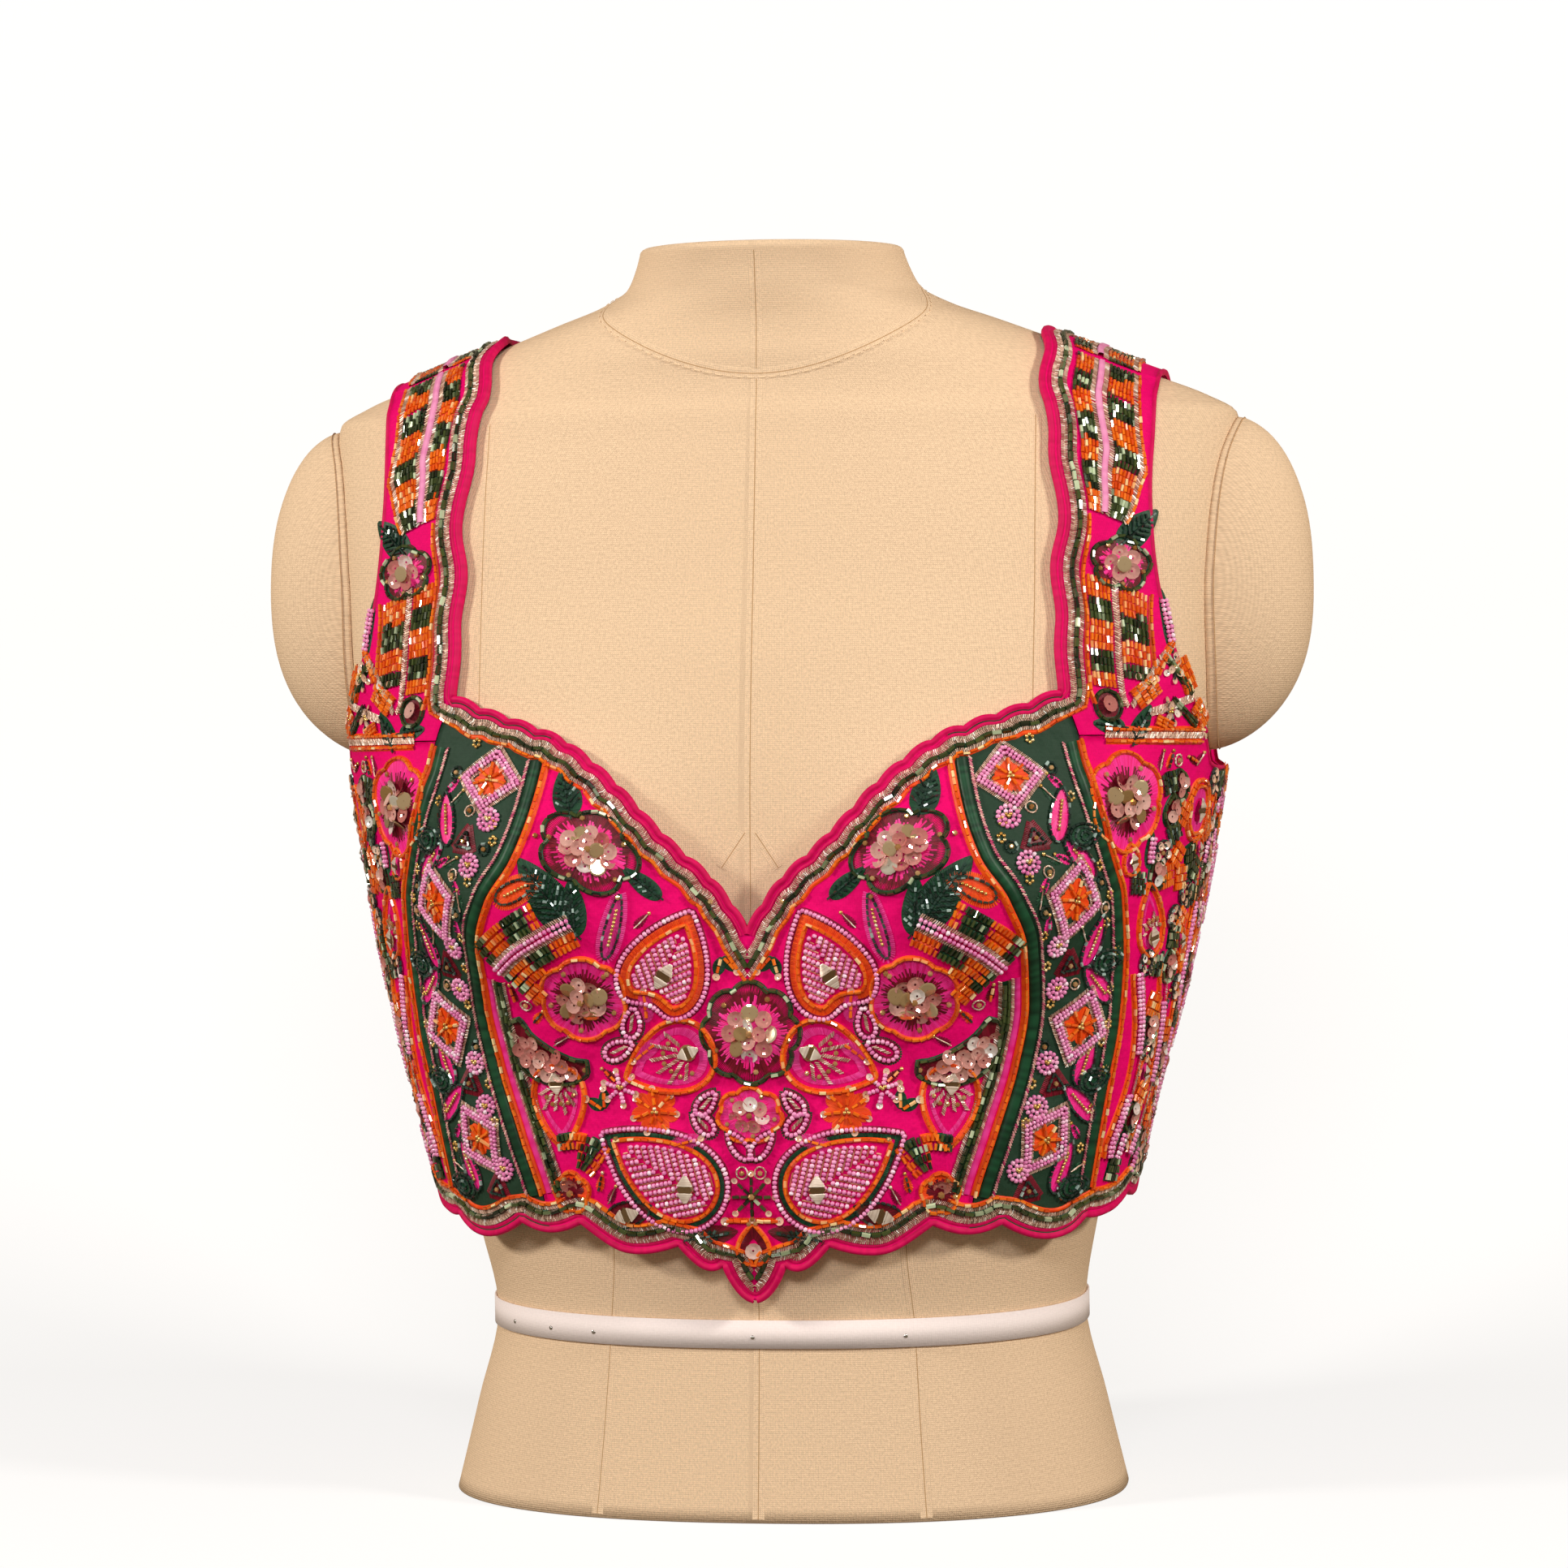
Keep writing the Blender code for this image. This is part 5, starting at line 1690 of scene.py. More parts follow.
def build_centre():
    """The motifs of the middle panel."""
    sequin_flower(at_front(0.0008, 0.1891, both=False), 0.0190, 0.0196, 8, "satin_maroon",
                  "bugle_green", 5, 3, depth=0.13)
    sequin_flower(at_front(0.0, 0.1577, both=False), 0.0126, 0.0106, 7, "satin_pink",
                  "bugle_orange", 7, 0, scale=0.86)
    bead_leaf(at_front(0.0302, 0.2158, 24.0), 0.0174, 0.0220, "satin_orange", notch=0.0046,
              mirror=-0.22, turn=100.0)
    bead_leaf(at_front(0.0350, 0.1356, -58.0), 0.0180, 0.0275, "satin_green", notch=0.0,
              mirror=-0.42, turn=150.0)
    sequin_flower(at_front(0.0600, 0.2583, 28.0), 0.0205, 0.0150, 5, "satin_maroon",
                  "bugle_green", 8, 2, depth=0.22)
    sequin_flower(at_front(0.0632, 0.2029), 0.0170, 0.0170, 6, "satin_pink", "bugle_orange", 5, 4,
                  depth=0.10, inner="satin_maroon")
    crescent(at_front(0.0790, 0.1815, 33.0), 0.0185)
    for out, height, tilt, length, width in (
        # out, height, tilt, length, width
        (0.0690, 0.2800, -14.0, 0.0100, 0.0056),
        (0.0755, 0.2418, -38.0, 0.0185, 0.0076),
        (0.0655, 0.2375, -4.0, 0.0110, 0.0050),
        (0.0400, 0.2462, -52.0, 0.0092, 0.0036),
    ):
        leaf(at_front(out, height, tilt), length, width)
    eye(at_front(0.0509, 0.2303, 14.0), 0.0125, 0.0028, halo="satin_rose")
    eye(at_front(0.0868, 0.2440, 65.0), 0.0090, 0.0036, halo="satin_orange")
    spiked_petal(at_front(0.0746, 0.1600, 176.0), 0.0110, 0.0165, mirror=-0.55)
    spiked_petal(at_front(0.0310, 0.1785, -112.0), 0.0140, 0.0185, mirror=-0.45)
    for out, height, length, width, tilt in (
        # out, height, length, width, tilt
        (0.0448, 0.1935, 0.0066, 0.0036, 8.0),
        (0.0500, 0.1828, 0.0066, 0.0036, 64.0),
        (0.0166, 0.1622, 0.0058, 0.0030, 40.0),
        (0.0180, 0.1545, 0.0058, 0.0030, -44.0),
    ):
        spot = at_front(out, height, tilt)
        outline = pear(width, length, 0.6)
        band_satin("satin_green", spot, outline, -0.0016, 0.0004)
        edge_row("bead_lilac", spot, outline * 0.94, lift=0.0002)
        rib = np.stack((np.zeros(9), np.linspace(-0.5, 0.5, 9) * length), axis=-1)
        row("zari_silver", spot.lay(rib), lift=0.0008, slant=40)
    bead_star(at_front(0.0501, 0.1676), 0.0060, "bead_lilac")
    flower = at_front(0.0366, 0.1590)
    bugle_flower(flower, 0.0095)
    flower.put("sequin_small", ring_spots(0.0088, 0.0088, 7, 0.1), lift=0.0008, size=0.8)
    for tilt in (38.0, -38.0):
        spot = at_front(0.0045 * math.copysign(1, -tilt), 0.1462, tilt, both=False)
        edge_row("bead_lilac", spot, pear(0.0028, 0.0064, 0.6), lift=0.0002)
        band_satin("satin_green", spot, pear(0.0030, 0.0066, 0.6), -0.0014, 0.0002)
    star = at_front(0.0, 0.1265, both=False)
    for turn in turned(8):
        way = np.array((math.sin(turn), math.cos(turn)))
        ray = way * np.linspace(0.0012, 0.0076, 10)[:, None]
        row("bugle_green", star.lay(ray), both=False, lift=0.0003)
        star.put("sequin_small", [way * 0.0090], lift=0.0006, size=0.75)
    star.put("stone_gold", [(0, 0)], lift=0.0006)
    wings = at_front(0.0, 0.1168, both=False)
    for side in (1, -1):
        line = np.stack((side * np.linspace(0.0016, 0.0100, 12), np.full(12, 0.0004)), axis=-1)
        threads("satin_orange", wings.lay(line - (0, 0.0012)), wings.lay(line + (0, 0.0012)),
                both=False)
        row("bugle_orange", wings.lay(line), both=False, lift=0.0005)
        wings.put("sequin_small", [(side * 0.0105, 0.0004)], lift=0.0008)
    wings.put("stone_gold", [(0, 0.0014), (0.0012, -0.0006), (-0.0013, -0.0006)], lift=0.0008,
              size=0.7)
    ring = at_front(0.0, 0.1080, both=False)
    drop = pear(0.0062, 0.0080, 0.9)
    radial_satin("satin_maroon", ring, drop, 0.3, 0.95)
    edge_row("bugle_orange", ring, drop, lift=0.0002)
    ring.put("sequin_rose", [(0.0, -0.0022)], lift=0.0012, size=0.95)
    spot = at_front(0.0165, 0.1112, 80.0)
    radial_satin("satin_maroon", spot, pear(0.0044, 0.0110, 0.5), 0.1, 1.0)
    leaf(spot, 0.0090, 0.0034)
    for place in ((0.0098, 0.2185, 166.0), (0.0565, 0.1590, -30.0)):
        sprig(at_front(*place))
    for place in ((0.0395, 0.2010, -4.0), (0.0408, 0.1812, -128.0), (0.0235, 0.1475, 76.0)):
        spot = at_front(*place)
        radial_satin("satin_rose", spot, pear(0.0030, 0.0078, 0.6), 0.05, 1.0)
        row("bugle_orange", spot.lay(upright(-0.006, 0.0035, 8)), lift=0.0005)
        spot.put("sequin_small", [(0, 0.0050)], lift=0.0008, size=0.8)
    bar = on_front_line(((0.0662, 0.2325), (0.0790, 0.2265), (0.0890, 0.2205), (0.0960, 0.2140)))
    for shift in (-0.0011, 0.0011):
        row("bead_lilac", bar, shift=shift, lift=0.0012)
    for shift in (-0.0026, 0.0026):
        row("zari_silver", bar, shift=shift, slant=70, lift=0.0008)
    fan(bar, (-0.0048, -0.0083, -0.0118), 0.0110, 0.0078, 0.25, 1.0)
    fan(bar, (0.0048, 0.0083), 0.0110, 0.0, 0.0, 1.0)
    fan(bar, (0.0118,), 0.0110, 0.0, 0.48, 1.0)
    fan(bar, (0.0153, 0.0188), 0.0110, 0.0, 0.72, 1.0)
    low = on_front_line(((0.0530, 0.1440), (0.0600, 0.1490), (0.0680, 0.1510), (0.0765, 0.1500)))
    fan(low, (0.0024, 0.0059), 0.0075, 0.0040, 0.0, 1.0)
    fan(low, (0.0094, 0.0129), 0.0075, 0.0040, 0.0, 0.62)
    sequin_flower(at_front(0.0705, 0.1268), 0.0076, 0.0080, 5, "satin_orange", "bugle_orange", 1, 0,
                  inner="satin_maroon")
    spot = at_front(0.0474, 0.1195, 72.0)
    outline = pear(0.0050, 0.0098, 0.55)
    radial_satin("satin_maroon", spot, outline, 0.1, 1.0)
    edge_row("cut_teal", spot, outline)
    mirror_plate(spot, (0.0, -0.001), 90.0, 0.95)
    for out, height in ((0.0140, 0.2390), (0.0245, 0.1940), (0.0535, 0.2130), (0.0490, 0.2410),
                        (0.0800, 0.2640), (0.0520, 0.1480), (0.0640, 0.1745)):
        at_front(out, height).put("stone_gold", [(0, 0)], lift=0.0004, size=0.8)
    free = []
    for height in np.arange(0.108, 0.292, 0.0046):
        edge = float(table(BAND_SEAMS, 1, max(height, 0.125)))
        for out in np.arange(0.0035, edge - 0.011, 0.0046):
            angle = float(angle_at(np.array(out), np.array(height)))
            if hem_height(angle) + 0.0135 < height < neckline_height(out) - 0.0135:
                free.append(on_surface(cloth_radius, np.array(angle), np.array(height)))
    fill_gaps(free)


def fill_gaps(places, reach=0.0031, fillings=FILLINGS):
    """Small satin leaves, set stones and short bugles where bare silk would show."""
    found = [note[0] for notes in WORK.values() for note in notes]
    found += [points for heap in (*SATIN.values(), *GROUNDS.values()) for points in heap.points]
    found = np.concatenate(found)
    added = np.full((1, 3), 9.0)
    for place in places:
        spot = Site(place, RANDOM.uniform(-80, 80))
        top = spot.place + spot.up * wall_top(spot.place)
        if np.linalg.norm(found - top, axis=1).min() < reach:
            continue
        if np.linalg.norm(added - top, axis=1).min() < reach * 1.8:
            continue
        added = np.concatenate((added, top[None]))
        colour, rib = fillings[len(added) % len(fillings)]
        if not rib:
            spot.put("stone_gold", [(0, 0)], lift=0.0004, size=0.75)
            row(colour, spot.lay(ring_spots(0.0021, 0.0023, 16)), closed=True)
            continue
        radial_satin(colour, spot, pear(0.0017, 0.0036, 0.6), 0.05, 1.0, pitch=0.0011)
        row(rib, spot.lay(upright(-0.0034, 0.0030, 7)), lift=0.0004, size=0.9)
        spot.put("bead_gold", [(0, 0.0042)], lift=0.0006)


def fan(path, shifts, block, start, first, last):
    """Bugles standing across a path, in blocks of orange and green."""
    length = run_lengths(path)
    piece = path[(length >= first * length[-1]) & (length <= last * length[-1])]
    for shift in shifts:
        satin_blocks(piece, block, start, shift - 0.0018, shift + 0.0018, 0.0002)
        for k, kind in enumerate(("bugle_orange", "bugle_green")):
            row(kind, piece, shift=shift, slant=90, pitch=0.00185, lift=0.0007,
                skip=lambda at, k=k: ((at + start) // block) % 2 != k)


def on_front_line(rows_of_front):
    """A smooth line on the cloth through rows of (out, height)."""
    rows_of_front = np.array(rows_of_front, float)
    steps = run_lengths(np.concatenate((rows_of_front, np.zeros((len(rows_of_front), 1))), axis=1))
    at = np.linspace(0, steps[-1], 80)
    outs = table(np.stack((steps, rows_of_front[:, 0]), axis=1), 1, at)
    heights = table(np.stack((steps, rows_of_front[:, 1]), axis=1), 1, at)
    return on_surface(cloth_radius, angle_at(outs, heights), heights)


def build_straps():
    """Blocks of bugles, cords and flowers on the straps, front, shoulder and back."""
    def upper(offset, first, last):
        """A line that keeps its distance from the border, and draws in towards the flower."""
        along = np.linspace(first, last, 160)
        spread = np.interp(along, (0.215, 0.290), (0.50, 1.0))
        width = table(STRAP, 2, along) - table(STRAP, 1, along)
        return strap_points(along, (0.0104 + offset * spread) / width)

    for first, last, start in ((0.222, 0.398, 0.0), (0.408, 0.800, 0.006)):
        for k in range(5):
            stripes(upper(0.0012 + 0.00142 * k, first, last), 0.0100, start)
        for k in range(7):
            stripes(upper(0.0141 + 0.00142 * k, first, last), 0.0100, start + 0.0100)
        for offset in (0.0080, 0.0124, 0.0238):
            row("zari_silver", upper(offset, first, last), slant=62, lift=0.0004, size=1.2)
        ground("cord_lilac", upper(0.0102, first, last), -0.0014, 0.0014, height=0.0019)
        orange_line(upper(0.0252, first, last))
    orange_line(strap_points(np.full(40, 0.803), np.linspace(0.20, 0.66, 40)))
    for k in range(6):
        stripes(strap_line(0.0122 + 0.00142 * k, 0.048, 0.158), 0.0098, 0.0045)
    for k in range(7):
        stripes(strap_line(0.0236 + 0.00146 * k, 0.060, 0.158), 0.0098, 0.0143)
    row("zari_silver", strap_line(0.0211, 0.030, 0.160), slant=60, lift=0.0004, size=1.2)
    row("zari_silver", strap_line(0.0220, 0.030, 0.160), slant=120, lift=0.0004)
    orange_line(strap_line(0.0104, 0.030, 0.218))
    orange_line(strap_line(0.0342, 0.062, 0.162))
    flower = on_strap(0.0232, 0.180)
    waist = np.stack((np.linspace(-0.004, 0.004, 9), np.full(9, -0.006)), axis=-1)
    threads("satin_pink", flower.lay(waist), flower.lay(waist * (0.25, 2.0)))
    sequin_flower(flower, 0.0122, 0.0106, 5, "satin_maroon", "bugle_green", 5, 0, depth=0.2,
                  scale=0.94)
    flower.put("disc_gold", [(0.0, -0.0006)], lift=0.0030, size=0.9)
    leaf(on_strap(0.0290, 0.226, -48.0), 0.0118, 0.0056)
    oval = on_strap(0.0405, 0.142)
    radial_satin("satin_green", oval, pear(0.0026, 0.0128, 0.5), 0.1, 1.0)
    for shift in (-0.0010, 0.0010):
        line = np.stack((np.full(14, shift), np.linspace(-0.0085, 0.0085, 14)), axis=-1)
        row("bead_lilac", oval.lay(line), lift=0.0002)
    for place, along in ((0.0415, 0.088), (0.0370, 0.030), (0.0310, 0.058), (0.0480, 0.040)):
        spot = on_strap(place, along)
        bead_star(spot, 0.0044, "cut_teal")
        spot.put("sequin_small", ring_spots(0.0026, 0.0026, 3, 0.4), lift=0.0012)
    bud = on_strap(0.0150, 0.030)
    radial_satin("satin_maroon", bud, ring_spots(0.0052, 0.0058, 40), 0.1, 1.0)
    edge_row("bugle_green", bud, ring_spots(0.0052, 0.0058, 40))
    bud.put("sequin_rose", [(0.0, 0.0004)], lift=0.0012)
    leaf(on_strap(0.0240, 0.012, -64.0), 0.0090, 0.0040)
    leaf(on_strap(0.0120, 0.010, 60.0), 0.0070, 0.0036)
    rays = (
        # kind, (shift, along) of both ends, rows
        ("bugle_orange", (0.0345, 0.070), (0.0435, 0.122), 2),
        ("bugle_orange", (0.0440, 0.104), (0.0495, 0.066), 5),
        ("bugle_orange", (0.0250, 0.036), (0.0350, 0.064), 6),
        ("bugle_orange", (0.0470, 0.052), (0.0505, 0.018), 5),
        ("bugle_green", (0.0385, 0.098), (0.0465, 0.062), 2),
        ("bugle_green", (0.0390, 0.048), (0.0430, 0.014), 2),
        ("bugle_orange", (0.0300, 0.020), (0.0340, 0.008), 3),
        ("zari_silver", (0.0290, 0.026), (0.0500, 0.060), 3),
        ("zari_silver", (0.0230, 0.030), (0.0360, 0.090), 2),
        ("zari_silver", (0.0360, 0.090), (0.0450, 0.118), 2),
    )
    for kind, first, last, count in rays:
        ends = np.array((on_strap(*first).place, on_strap(*last).place))
        line = settled(np.linspace(ends[0], ends[1], 40))
        bugles = kind != "zari_silver"
        step = 0.00142 if bugles else 0.0008
        shifts = (np.arange(count) - (count - 1) / 2) * step
        if bugles:
            ground(UNDER[kind][0], line, shifts[0] - 0.0009, shifts[-1] + 0.0009)
        for shift in shifts:
            row(kind, line, shift=shift, slant=0 if bugles else 60, lift=0.0005)
    base = strap_points(np.array([0.005]), np.linspace(0.20, 0.97, 60))
    ground("satin_orange", base, -0.0018, 0.0010)
    ground("satin_orange", base, 0.0030, 0.0056)
    for shift, kind in ((-0.0004, "bugle_orange"), (0.0014, "zari_silver"),
                        (0.0022, "zari_silver"), (0.0042, "bugle_orange")):
        row(kind, base, shift=shift, slant=60 if kind == "zari_silver" else 0, lift=0.0005)


def orange_line(path, skip=None):
    """A row of orange bugles on a satin line."""
    if len(path) > 3:
        ground("satin_orange", path, -0.0010, 0.0010)
        row("bugle_orange", path, lift=0.0005, skip=skip)


def on_strap(shift, along, tilt=0.0):
    """A site on the strap, this far from its inner edge and this share along it."""
    edge = strap_line(shift, max(along - 0.01, 0.0), along + 0.01, 21)
    return Site(edge[10], tilt, v_way=unit(edge[-1] - edge[0]))


def on_side(degrees, height, tilt=0.0):
    """A site at this angle round the body."""
    angle = np.radians(degrees)
    return Site(on_surface(cloth_radius, angle, np.array(height)), tilt)


def build_sides():
    """The close work on the side fronts, and small flowers on the back."""
    bloom = at_front(0.1400, 0.2745)
    sequin_flower(bloom, 0.0185, 0.0190, 6, "satin_pink", "bugle_orange", 5, 4, depth=0.12,
                  inner="satin_maroon")
    petal = at_front(0.1475, 0.2290, 14.0)
    spiked_petal(petal, 0.0078, 0.0150, mirror=-0.5)
    frame = on_side(75.5, 0.2700)
    square = lobed(0.0085, 0.0100, 4, 0.10, start=math.pi / 4)
    radial_satin("satin_rose", frame, square, 0.5, 1.0)
    edge_row("bugle_orange", frame, square)
    edge_row("bugle_orange", frame, square * 1.25)
    mirror_plate(frame, (0.0, 0.0), 90.0, 0.9)
    taken = [(bloom.place, 0.0215), (petal.place, 0.0150), (frame.place, 0.0130)]
    paths = []
    for degrees, low, high in ((4.2, 0.136, 0.209), (10.8, 0.136, 0.212), (17.6, 0.136, 0.250),
                               (24.4, 0.136, 0.262), (31.0, 0.136, 0.276)):
        heights = np.linspace(low, high, 90)
        sway = 2.0 * np.sin(heights * 60 + degrees) + 30 * (heights - 0.2)
        seam = np.degrees(seam_angle(2, heights, 0.0))
        turns = np.clip(seam + degrees + sway, seam + 2.8, 93.5)
        path = on_surface(cloth_radius, np.radians(turns), heights)
        paths.append(path)
        for shift in (-0.0009, 0.0009):
            row("bead_lilac", path, shift=shift, lift=0.0008,
                skip=lambda at, d=degrees: ((at + 0.002 * d) // 0.017) % 3 == 2)
        row("zari_silver", path, shift=0.0023, slant=60, lift=0.0006)
        ground("satin_orange", path, -0.0044, -0.0020)
        row("bugle_orange", path, shift=-0.0032, lift=0.0005)
    ways = np.concatenate([path[::3] for path in paths])
    cells = 0
    for height in np.arange(0.1335, 0.284, 0.0086):
        start = math.degrees(float(seam_angle(2, np.array(height), 0.0066)))
        for degrees in np.arange(start, 94.5, 3.3):
            turn = degrees + (cells * 7 % 5 - 2) * 0.3
            level = height + (cells * 5 % 7 - 3) * 0.0006
            cells += 1
            spot = on_side(turn, level, RANDOM.uniform(-35, 35))
            if any(np.linalg.norm(spot.place - place) < reach for place, reach in taken):
                continue
            if np.linalg.norm(ways - spot.place, axis=1).min() < 0.0038:
                continue
            side_motif(spot, (cells * 3 + cells // 7) % 8)
    free = []
    for degrees in np.arange(30.0, 94.0, 1.7):
        for height in np.arange(0.130, 0.290, 0.0047):
            angle = math.radians(degrees + 0.85 * (len(free) % 2))
            inside = seam_angle(2, np.array(height), 0.0055) < angle
            top = float(table(SIDE_FRONT_TOP, 1, degrees)) - 0.006
            if inside and hem_height(angle) + 0.0135 < height < top:
                free.append(on_surface(cloth_radius, angle, np.array(height)))
    fill_gaps(free, reach=0.0029)
    for degrees in np.arange(104.0, 177.0, 12.0):
        top = float(table(BACK_TOP, 1, degrees)) - 0.024
        for j, height in enumerate(np.arange(0.146, top, 0.026)):
            shift = 6.0 if j % 2 else 0.0
            if degrees + shift < 174:
                bead_flower(on_side(degrees + shift, height), 0.0042)


def side_motif(spot, which):
    """One of eight small worked shapes that fill the side fronts."""
    line = upright(-0.0048, 0.0048, 10)
    if which in (0, 3, 5):
        colour = "green" if which == 3 else "orange"
        threads("satin_" + colour, spot.lay(line * 0.95 - (0.0042, 0)),
                spot.lay(line * 0.95 + (0.0042, 0)), width=0.0016)
        for k in range(-2, 3):
            row("bugle_" + colour, spot.lay(line + (k * 0.0016, 0)), lift=0.0005)
    elif which == 1:
        band_satin("satin_green", spot, pear(0.0026, 0.0066, 0.5), -0.0008, 0.0010)
        for shift in (-0.0009, 0.0009):
            row("bead_lilac", spot.lay(line * 1.1 + (shift, 0)), lift=0.0003)
    elif which == 2:
        outline = pear(0.0050, 0.0062, 0.6)
        radial_satin("satin_maroon", spot, outline, 0.05, 1.0)
        edge_row("bugle_green", spot, outline)
        spot.put("sequin_rose", ((-0.0012, -0.0022), (0.0014, 0.0006), (-0.0006, 0.0028)),
                 lift=0.0014, size=0.72)
    elif which == 4:
        for reach in (0.0044, 0.0028):
            row("cut_teal", spot.lay(ring_spots(reach, reach * 1.1, 30)), closed=True, lift=0.0003)
        spot.put("sequin_small", ring_spots(0.0034, 0.0036, 5), lift=0.0012)
        spot.put("stone_gold", [(0, 0)], lift=0.0008, size=0.8)
    elif which == 6:
        outline = pear(0.0044, 0.0062, 0.6)
        radial_satin("satin_pink", spot, outline, 0.1, 1.0)
        edge_row("bugle_orange", spot, outline)
        mirror_plate(spot, (0.0, -0.001), 90.0, 0.62)
    else:
        for k in range(-3, 4):
            sway = RANDOM.uniform(-0.001, 0.001)
            row(("bugle_green", "cut_teal")[k % 2], spot.lay(line * 0.95 + (k * 0.0013, sway)),
                lift=0.0003)


MOST_TRIANGLES = 190000


def build_beadwork():
    """Joins all that was sewn on, one object for each kind."""
    for kind, notes in WORK.items():
        if not notes:
            continue
        shape, length, width, height, _, smooth = KINDS[kind]
        places, along, up = (np.concatenate([n[i] for n in notes]) for i in range(3))
        sizes = np.concatenate([n[3] for n in notes])
        limit = MOST_TRIANGLES // (2 * len(shape[1]))
        for k in range(0, len(places), limit):
            heap = Heap()
            cut = slice(k, k + limit)
            stamp(heap, shape, places[cut], along[cut], up[cut], sizes[cut], length, width, height)
            name = kind if k == 0 else f"{kind}_{k // limit + 1}"
            heap.build(name, material(kind), smooth=smooth)
    for colour, heap in SATIN.items():
        heap.build("stitches_" + colour, material(colour))
    for colour, heap in GROUNDS.items():
        heap.build("ground_" + colour, material(colour))


# The stage and the camera


def area_light(name, place, aim, size, power, colour):
    """A soft light that looks at a point."""
    data = bpy.data.lights.new(name, "AREA")
    data.shape = "RECTANGLE"
    data.size = size[0]
    data.size_y = size[1]
    data.energy = power
    data.color = colour
    lamp = bpy.data.objects.new(name, data)
    bpy.context.scene.collection.objects.link(lamp)
    lamp.location = place
    lamp.rotation_euler = look(place, aim)
    lamp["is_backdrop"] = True


def look(place, aim, roll=0.0):
    """The turn that points an object's -Z from a place to an aim."""
    way = Vector(aim) - Vector(place)
    turn = way.to_track_quat("-Z", "Y").to_matrix()
    return (turn @ Matrix.Rotation(math.radians(roll), 3, "Z")).to_euler()


def build_stage(settings):
    """A white sweep, soft lights from both sides, and the camera of the photograph."""
    turns = np.linspace(0, math.pi / 2, 16)
    depth, height, bend = 0.62, 2.4, 0.35
    profile = [(-3.2, 0.0)]
    profile += [(depth - bend + bend * math.sin(t), bend - bend * math.cos(t)) for t in turns]
    profile += [(depth, height)]
    points = [(x, y, z - 0.0002) for x in (-3.0, 3.0) for y, z in profile]
    count = len(profile)
    faces = [(j, count + j, count + j + 1, j + 1) for j in range(count - 1)]
    mesh = bpy.data.meshes.new("backdrop")
    mesh.from_pydata(points, [], faces)
    mesh.polygons.foreach_set("use_smooth", np.full(len(faces), True))
    paper = bpy.data.materials.new("paper")
    paper.use_nodes = True
    shader = paper.node_tree.nodes["Principled BSDF"]
    shader.inputs["Base Color"].default_value = (0.30, 0.30, 0.31, 1.0)
    shader.inputs["Roughness"].default_value = 1.0
    shader.inputs["Specular IOR Level"].default_value = 0.0
    shader.inputs["Emission Color"].default_value = (1.0, 1.0, 0.995, 1.0)
    shader.inputs["Emission Strength"].default_value = settings.backdrop_glow
    tree = paper.node_tree
    # From behind the paper is clear, so that the back of the blouse shows
    behind = add_node(tree, "NewGeometry").outputs["Backfacing"]
    clear = add_node(tree, "BsdfTransparent").outputs[0]
    mix = add_node(tree, "MixShader", wires={"Fac": behind, 1: shader.outputs[0], 2: clear})
    tree.links.new(mix.outputs[0], tree.nodes["Material Output"].inputs["Surface"])
    mesh.materials.append(paper)
    backdrop = bpy.data.objects.new("backdrop", mesh)
    bpy.context.scene.collection.objects.link(backdrop)
    backdrop.visible_diffuse = False
    backdrop.visible_glossy = False
    backdrop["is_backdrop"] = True
    world = bpy.data.worlds.new("room")
    world.use_nodes = True
    world.node_tree.nodes["Background"].inputs["Color"].default_value = (1.0, 0.80, 0.58, 1.0)
    world.node_tree.nodes["Background"].inputs["Strength"].default_value = settings.room_light
    bpy.context.scene.world = world
    warm = (1.0, 0.96, 0.87)
    power = settings.lamp_power
    area_light("lamp_left", (-1.95, -1.15, 1.25), (0, 0, 0.28), (0.34, 0.34), power * 1.22, warm)
    area_light("lamp_right", (1.95, -0.95, 1.30), (0, 0, 0.28), (0.34, 0.34), power * 1.12, warm)
    area_light("lamp_front", (0.2, -2.1, 1.25), (0, 0, 0.25), (0.6, 0.4), power * 0.66, (1.0, 1.0, 1.0))
    turn = math.radians(8.0)
    right = np.array((math.cos(turn), math.sin(turn), 0))
    away = np.array((math.sin(turn), -math.cos(turn), 0))
    aim = np.array((0, AXIS_Y, 0.280)) - right * 0.000325
    place = aim + away * 2.0 + np.array((0, 0, 0.065))
    data = bpy.data.cameras.new("camera")
    data.lens = settings.lens
    data.sensor_width = 36.0
    data.clip_start = 0.1
    camera = bpy.data.objects.new("camera", data)
    camera.location = place
    camera.rotation_euler = look(place, aim, -0.7)
    bpy.context.scene.collection.objects.link(camera)
    bpy.context.scene.camera = camera
    bpy.context.scene.view_settings.view_transform = "Standard"


# The add-on


class CholiSettings(bpy.types.PropertyGroup):
    """Sizes and strengths that a user may change before building."""

    lens: bpy.props.FloatProperty(
        name="Lens", description="Focal length of the camera in millimetres", default=114.73,
        min=20.0, max=300.0)
    lamp_power: bpy.props.FloatProperty(
        name="Lamp power", description="Power of the strongest soft light", default=29.0,
        unit="POWER")
    room_light: bpy.props.FloatProperty(
        name="Room light", description="Strength of the even light all round", default=0.22)
    backdrop_glow: bpy.props.FloatProperty(
        name="Backdrop glow", description="How far the backdrop is lit by itself", default=0.72)


class CHOLI_OT_form(bpy.types.Operator):
    """Builds the dress form, its seams and its tape"""

    bl_idname = "choli.form"
    bl_label = "Dress form"

    def execute(self, context):
        build_form()
        return {"FINISHED"}


class CHOLI_OT_cloth(bpy.types.Operator):
    """Builds the cloth panels"""

    bl_idname = "choli.cloth"
    bl_label = "Cloth panels"

    def execute(self, context):
        build_cloth()
        return {"FINISHED"}


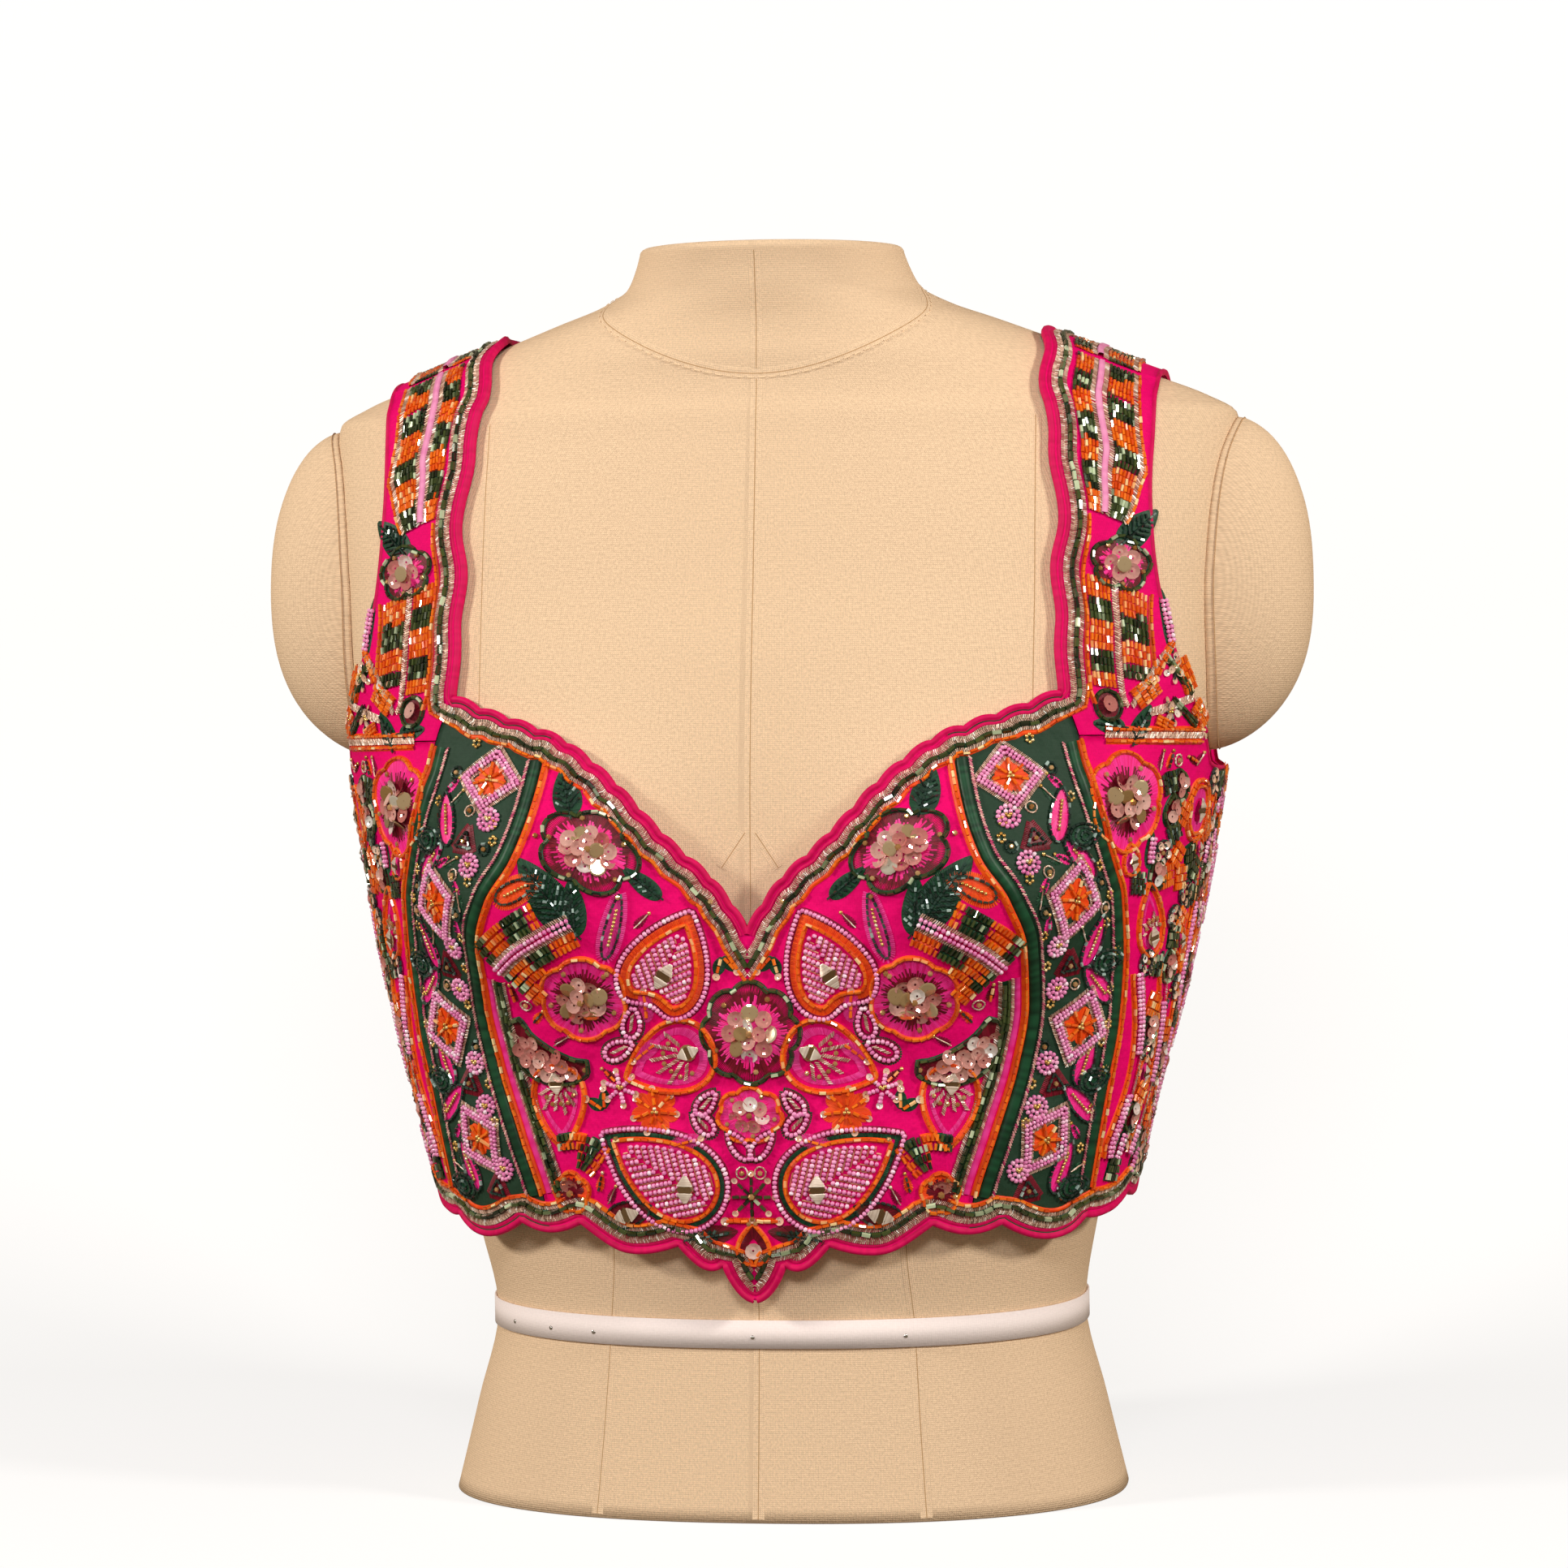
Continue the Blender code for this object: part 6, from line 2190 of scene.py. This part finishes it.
class CHOLI_OT_edging(bpy.types.Operator):
    """Sews the rim and rows round neck, hem and armholes"""

    bl_idname = "choli.edging"
    bl_label = "Edging"

    def execute(self, context):
        build_edging()
        return {"FINISHED"}


class CHOLI_OT_bands(bpy.types.Operator):
    """Sews the work on the green bands"""

    bl_idname = "choli.bands"
    bl_label = "Bands"

    def execute(self, context):
        build_bands()
        return {"FINISHED"}


class CHOLI_OT_centre(bpy.types.Operator):
    """Sews the motifs of the middle panel"""

    bl_idname = "choli.centre"
    bl_label = "Centre front"

    def execute(self, context):
        build_centre()
        return {"FINISHED"}


class CHOLI_OT_straps(bpy.types.Operator):
    """Sews the work on the straps"""

    bl_idname = "choli.straps"
    bl_label = "Straps"

    def execute(self, context):
        build_straps()
        return {"FINISHED"}


class CHOLI_OT_sides(bpy.types.Operator):
    """Sews the work on the side fronts and the back"""

    bl_idname = "choli.sides"
    bl_label = "Sides and back"

    def execute(self, context):
        build_sides()
        return {"FINISHED"}


class CHOLI_OT_beadwork(bpy.types.Operator):
    """Joins beads, sequins and stitches into objects"""

    bl_idname = "choli.beadwork"
    bl_label = "Beadwork"

    def execute(self, context):
        build_beadwork()
        return {"FINISHED"}


class CHOLI_OT_stage(bpy.types.Operator):
    """Sets the backdrop, lights and camera"""

    bl_idname = "choli.stage"
    bl_label = "Stage"

    def execute(self, context):
        build_stage(context.scene.choli)
        return {"FINISHED"}


OPERATORS = (CHOLI_OT_form, CHOLI_OT_cloth, CHOLI_OT_edging, CHOLI_OT_bands, CHOLI_OT_centre,
             CHOLI_OT_straps, CHOLI_OT_sides, CHOLI_OT_beadwork, CHOLI_OT_stage)


class CHOLI_PT_panel(bpy.types.Panel):
    """Settings and build steps in the sidebar"""

    bl_idname = "CHOLI_PT_panel"
    bl_label = "Choli blouse"
    bl_space_type = "VIEW_3D"
    bl_region_type = "UI"
    bl_category = "Choli"

    def draw(self, context):
        for field in ("lens", "lamp_power", "room_light", "backdrop_glow"):
            self.layout.prop(context.scene.choli, field)
        for operator in OPERATORS:
            self.layout.operator(operator.bl_idname)


def register():
    """Registers the settings, operators and panel."""
    for item in (CholiSettings, *OPERATORS, CHOLI_PT_panel):
        bpy.utils.register_class(item)
    bpy.types.Scene.choli = bpy.props.PointerProperty(type=CholiSettings)


def unregister():
    """Takes them out again."""
    del bpy.types.Scene.choli
    for item in (CHOLI_PT_panel, *reversed(OPERATORS), CholiSettings):
        bpy.utils.unregister_class(item)


def corners():
    """The lowest and highest corner of what shows, as plain lists."""
    low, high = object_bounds()
    return [[float(v) for v in low], [float(v) for v in high]]


def main():
    """Builds everything in order."""
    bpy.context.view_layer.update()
    register()
    bpy.ops.choli.form()
    bpy.ops.choli.cloth()
    bpy.ops.choli.edging()
    bpy.ops.choli.bands()
    bpy.ops.choli.centre()
    bpy.ops.choli.straps()
    bpy.ops.choli.sides()
    bpy.ops.choli.beadwork()
    bpy.ops.choli.stage()


if __name__ == "__main__":
    main()
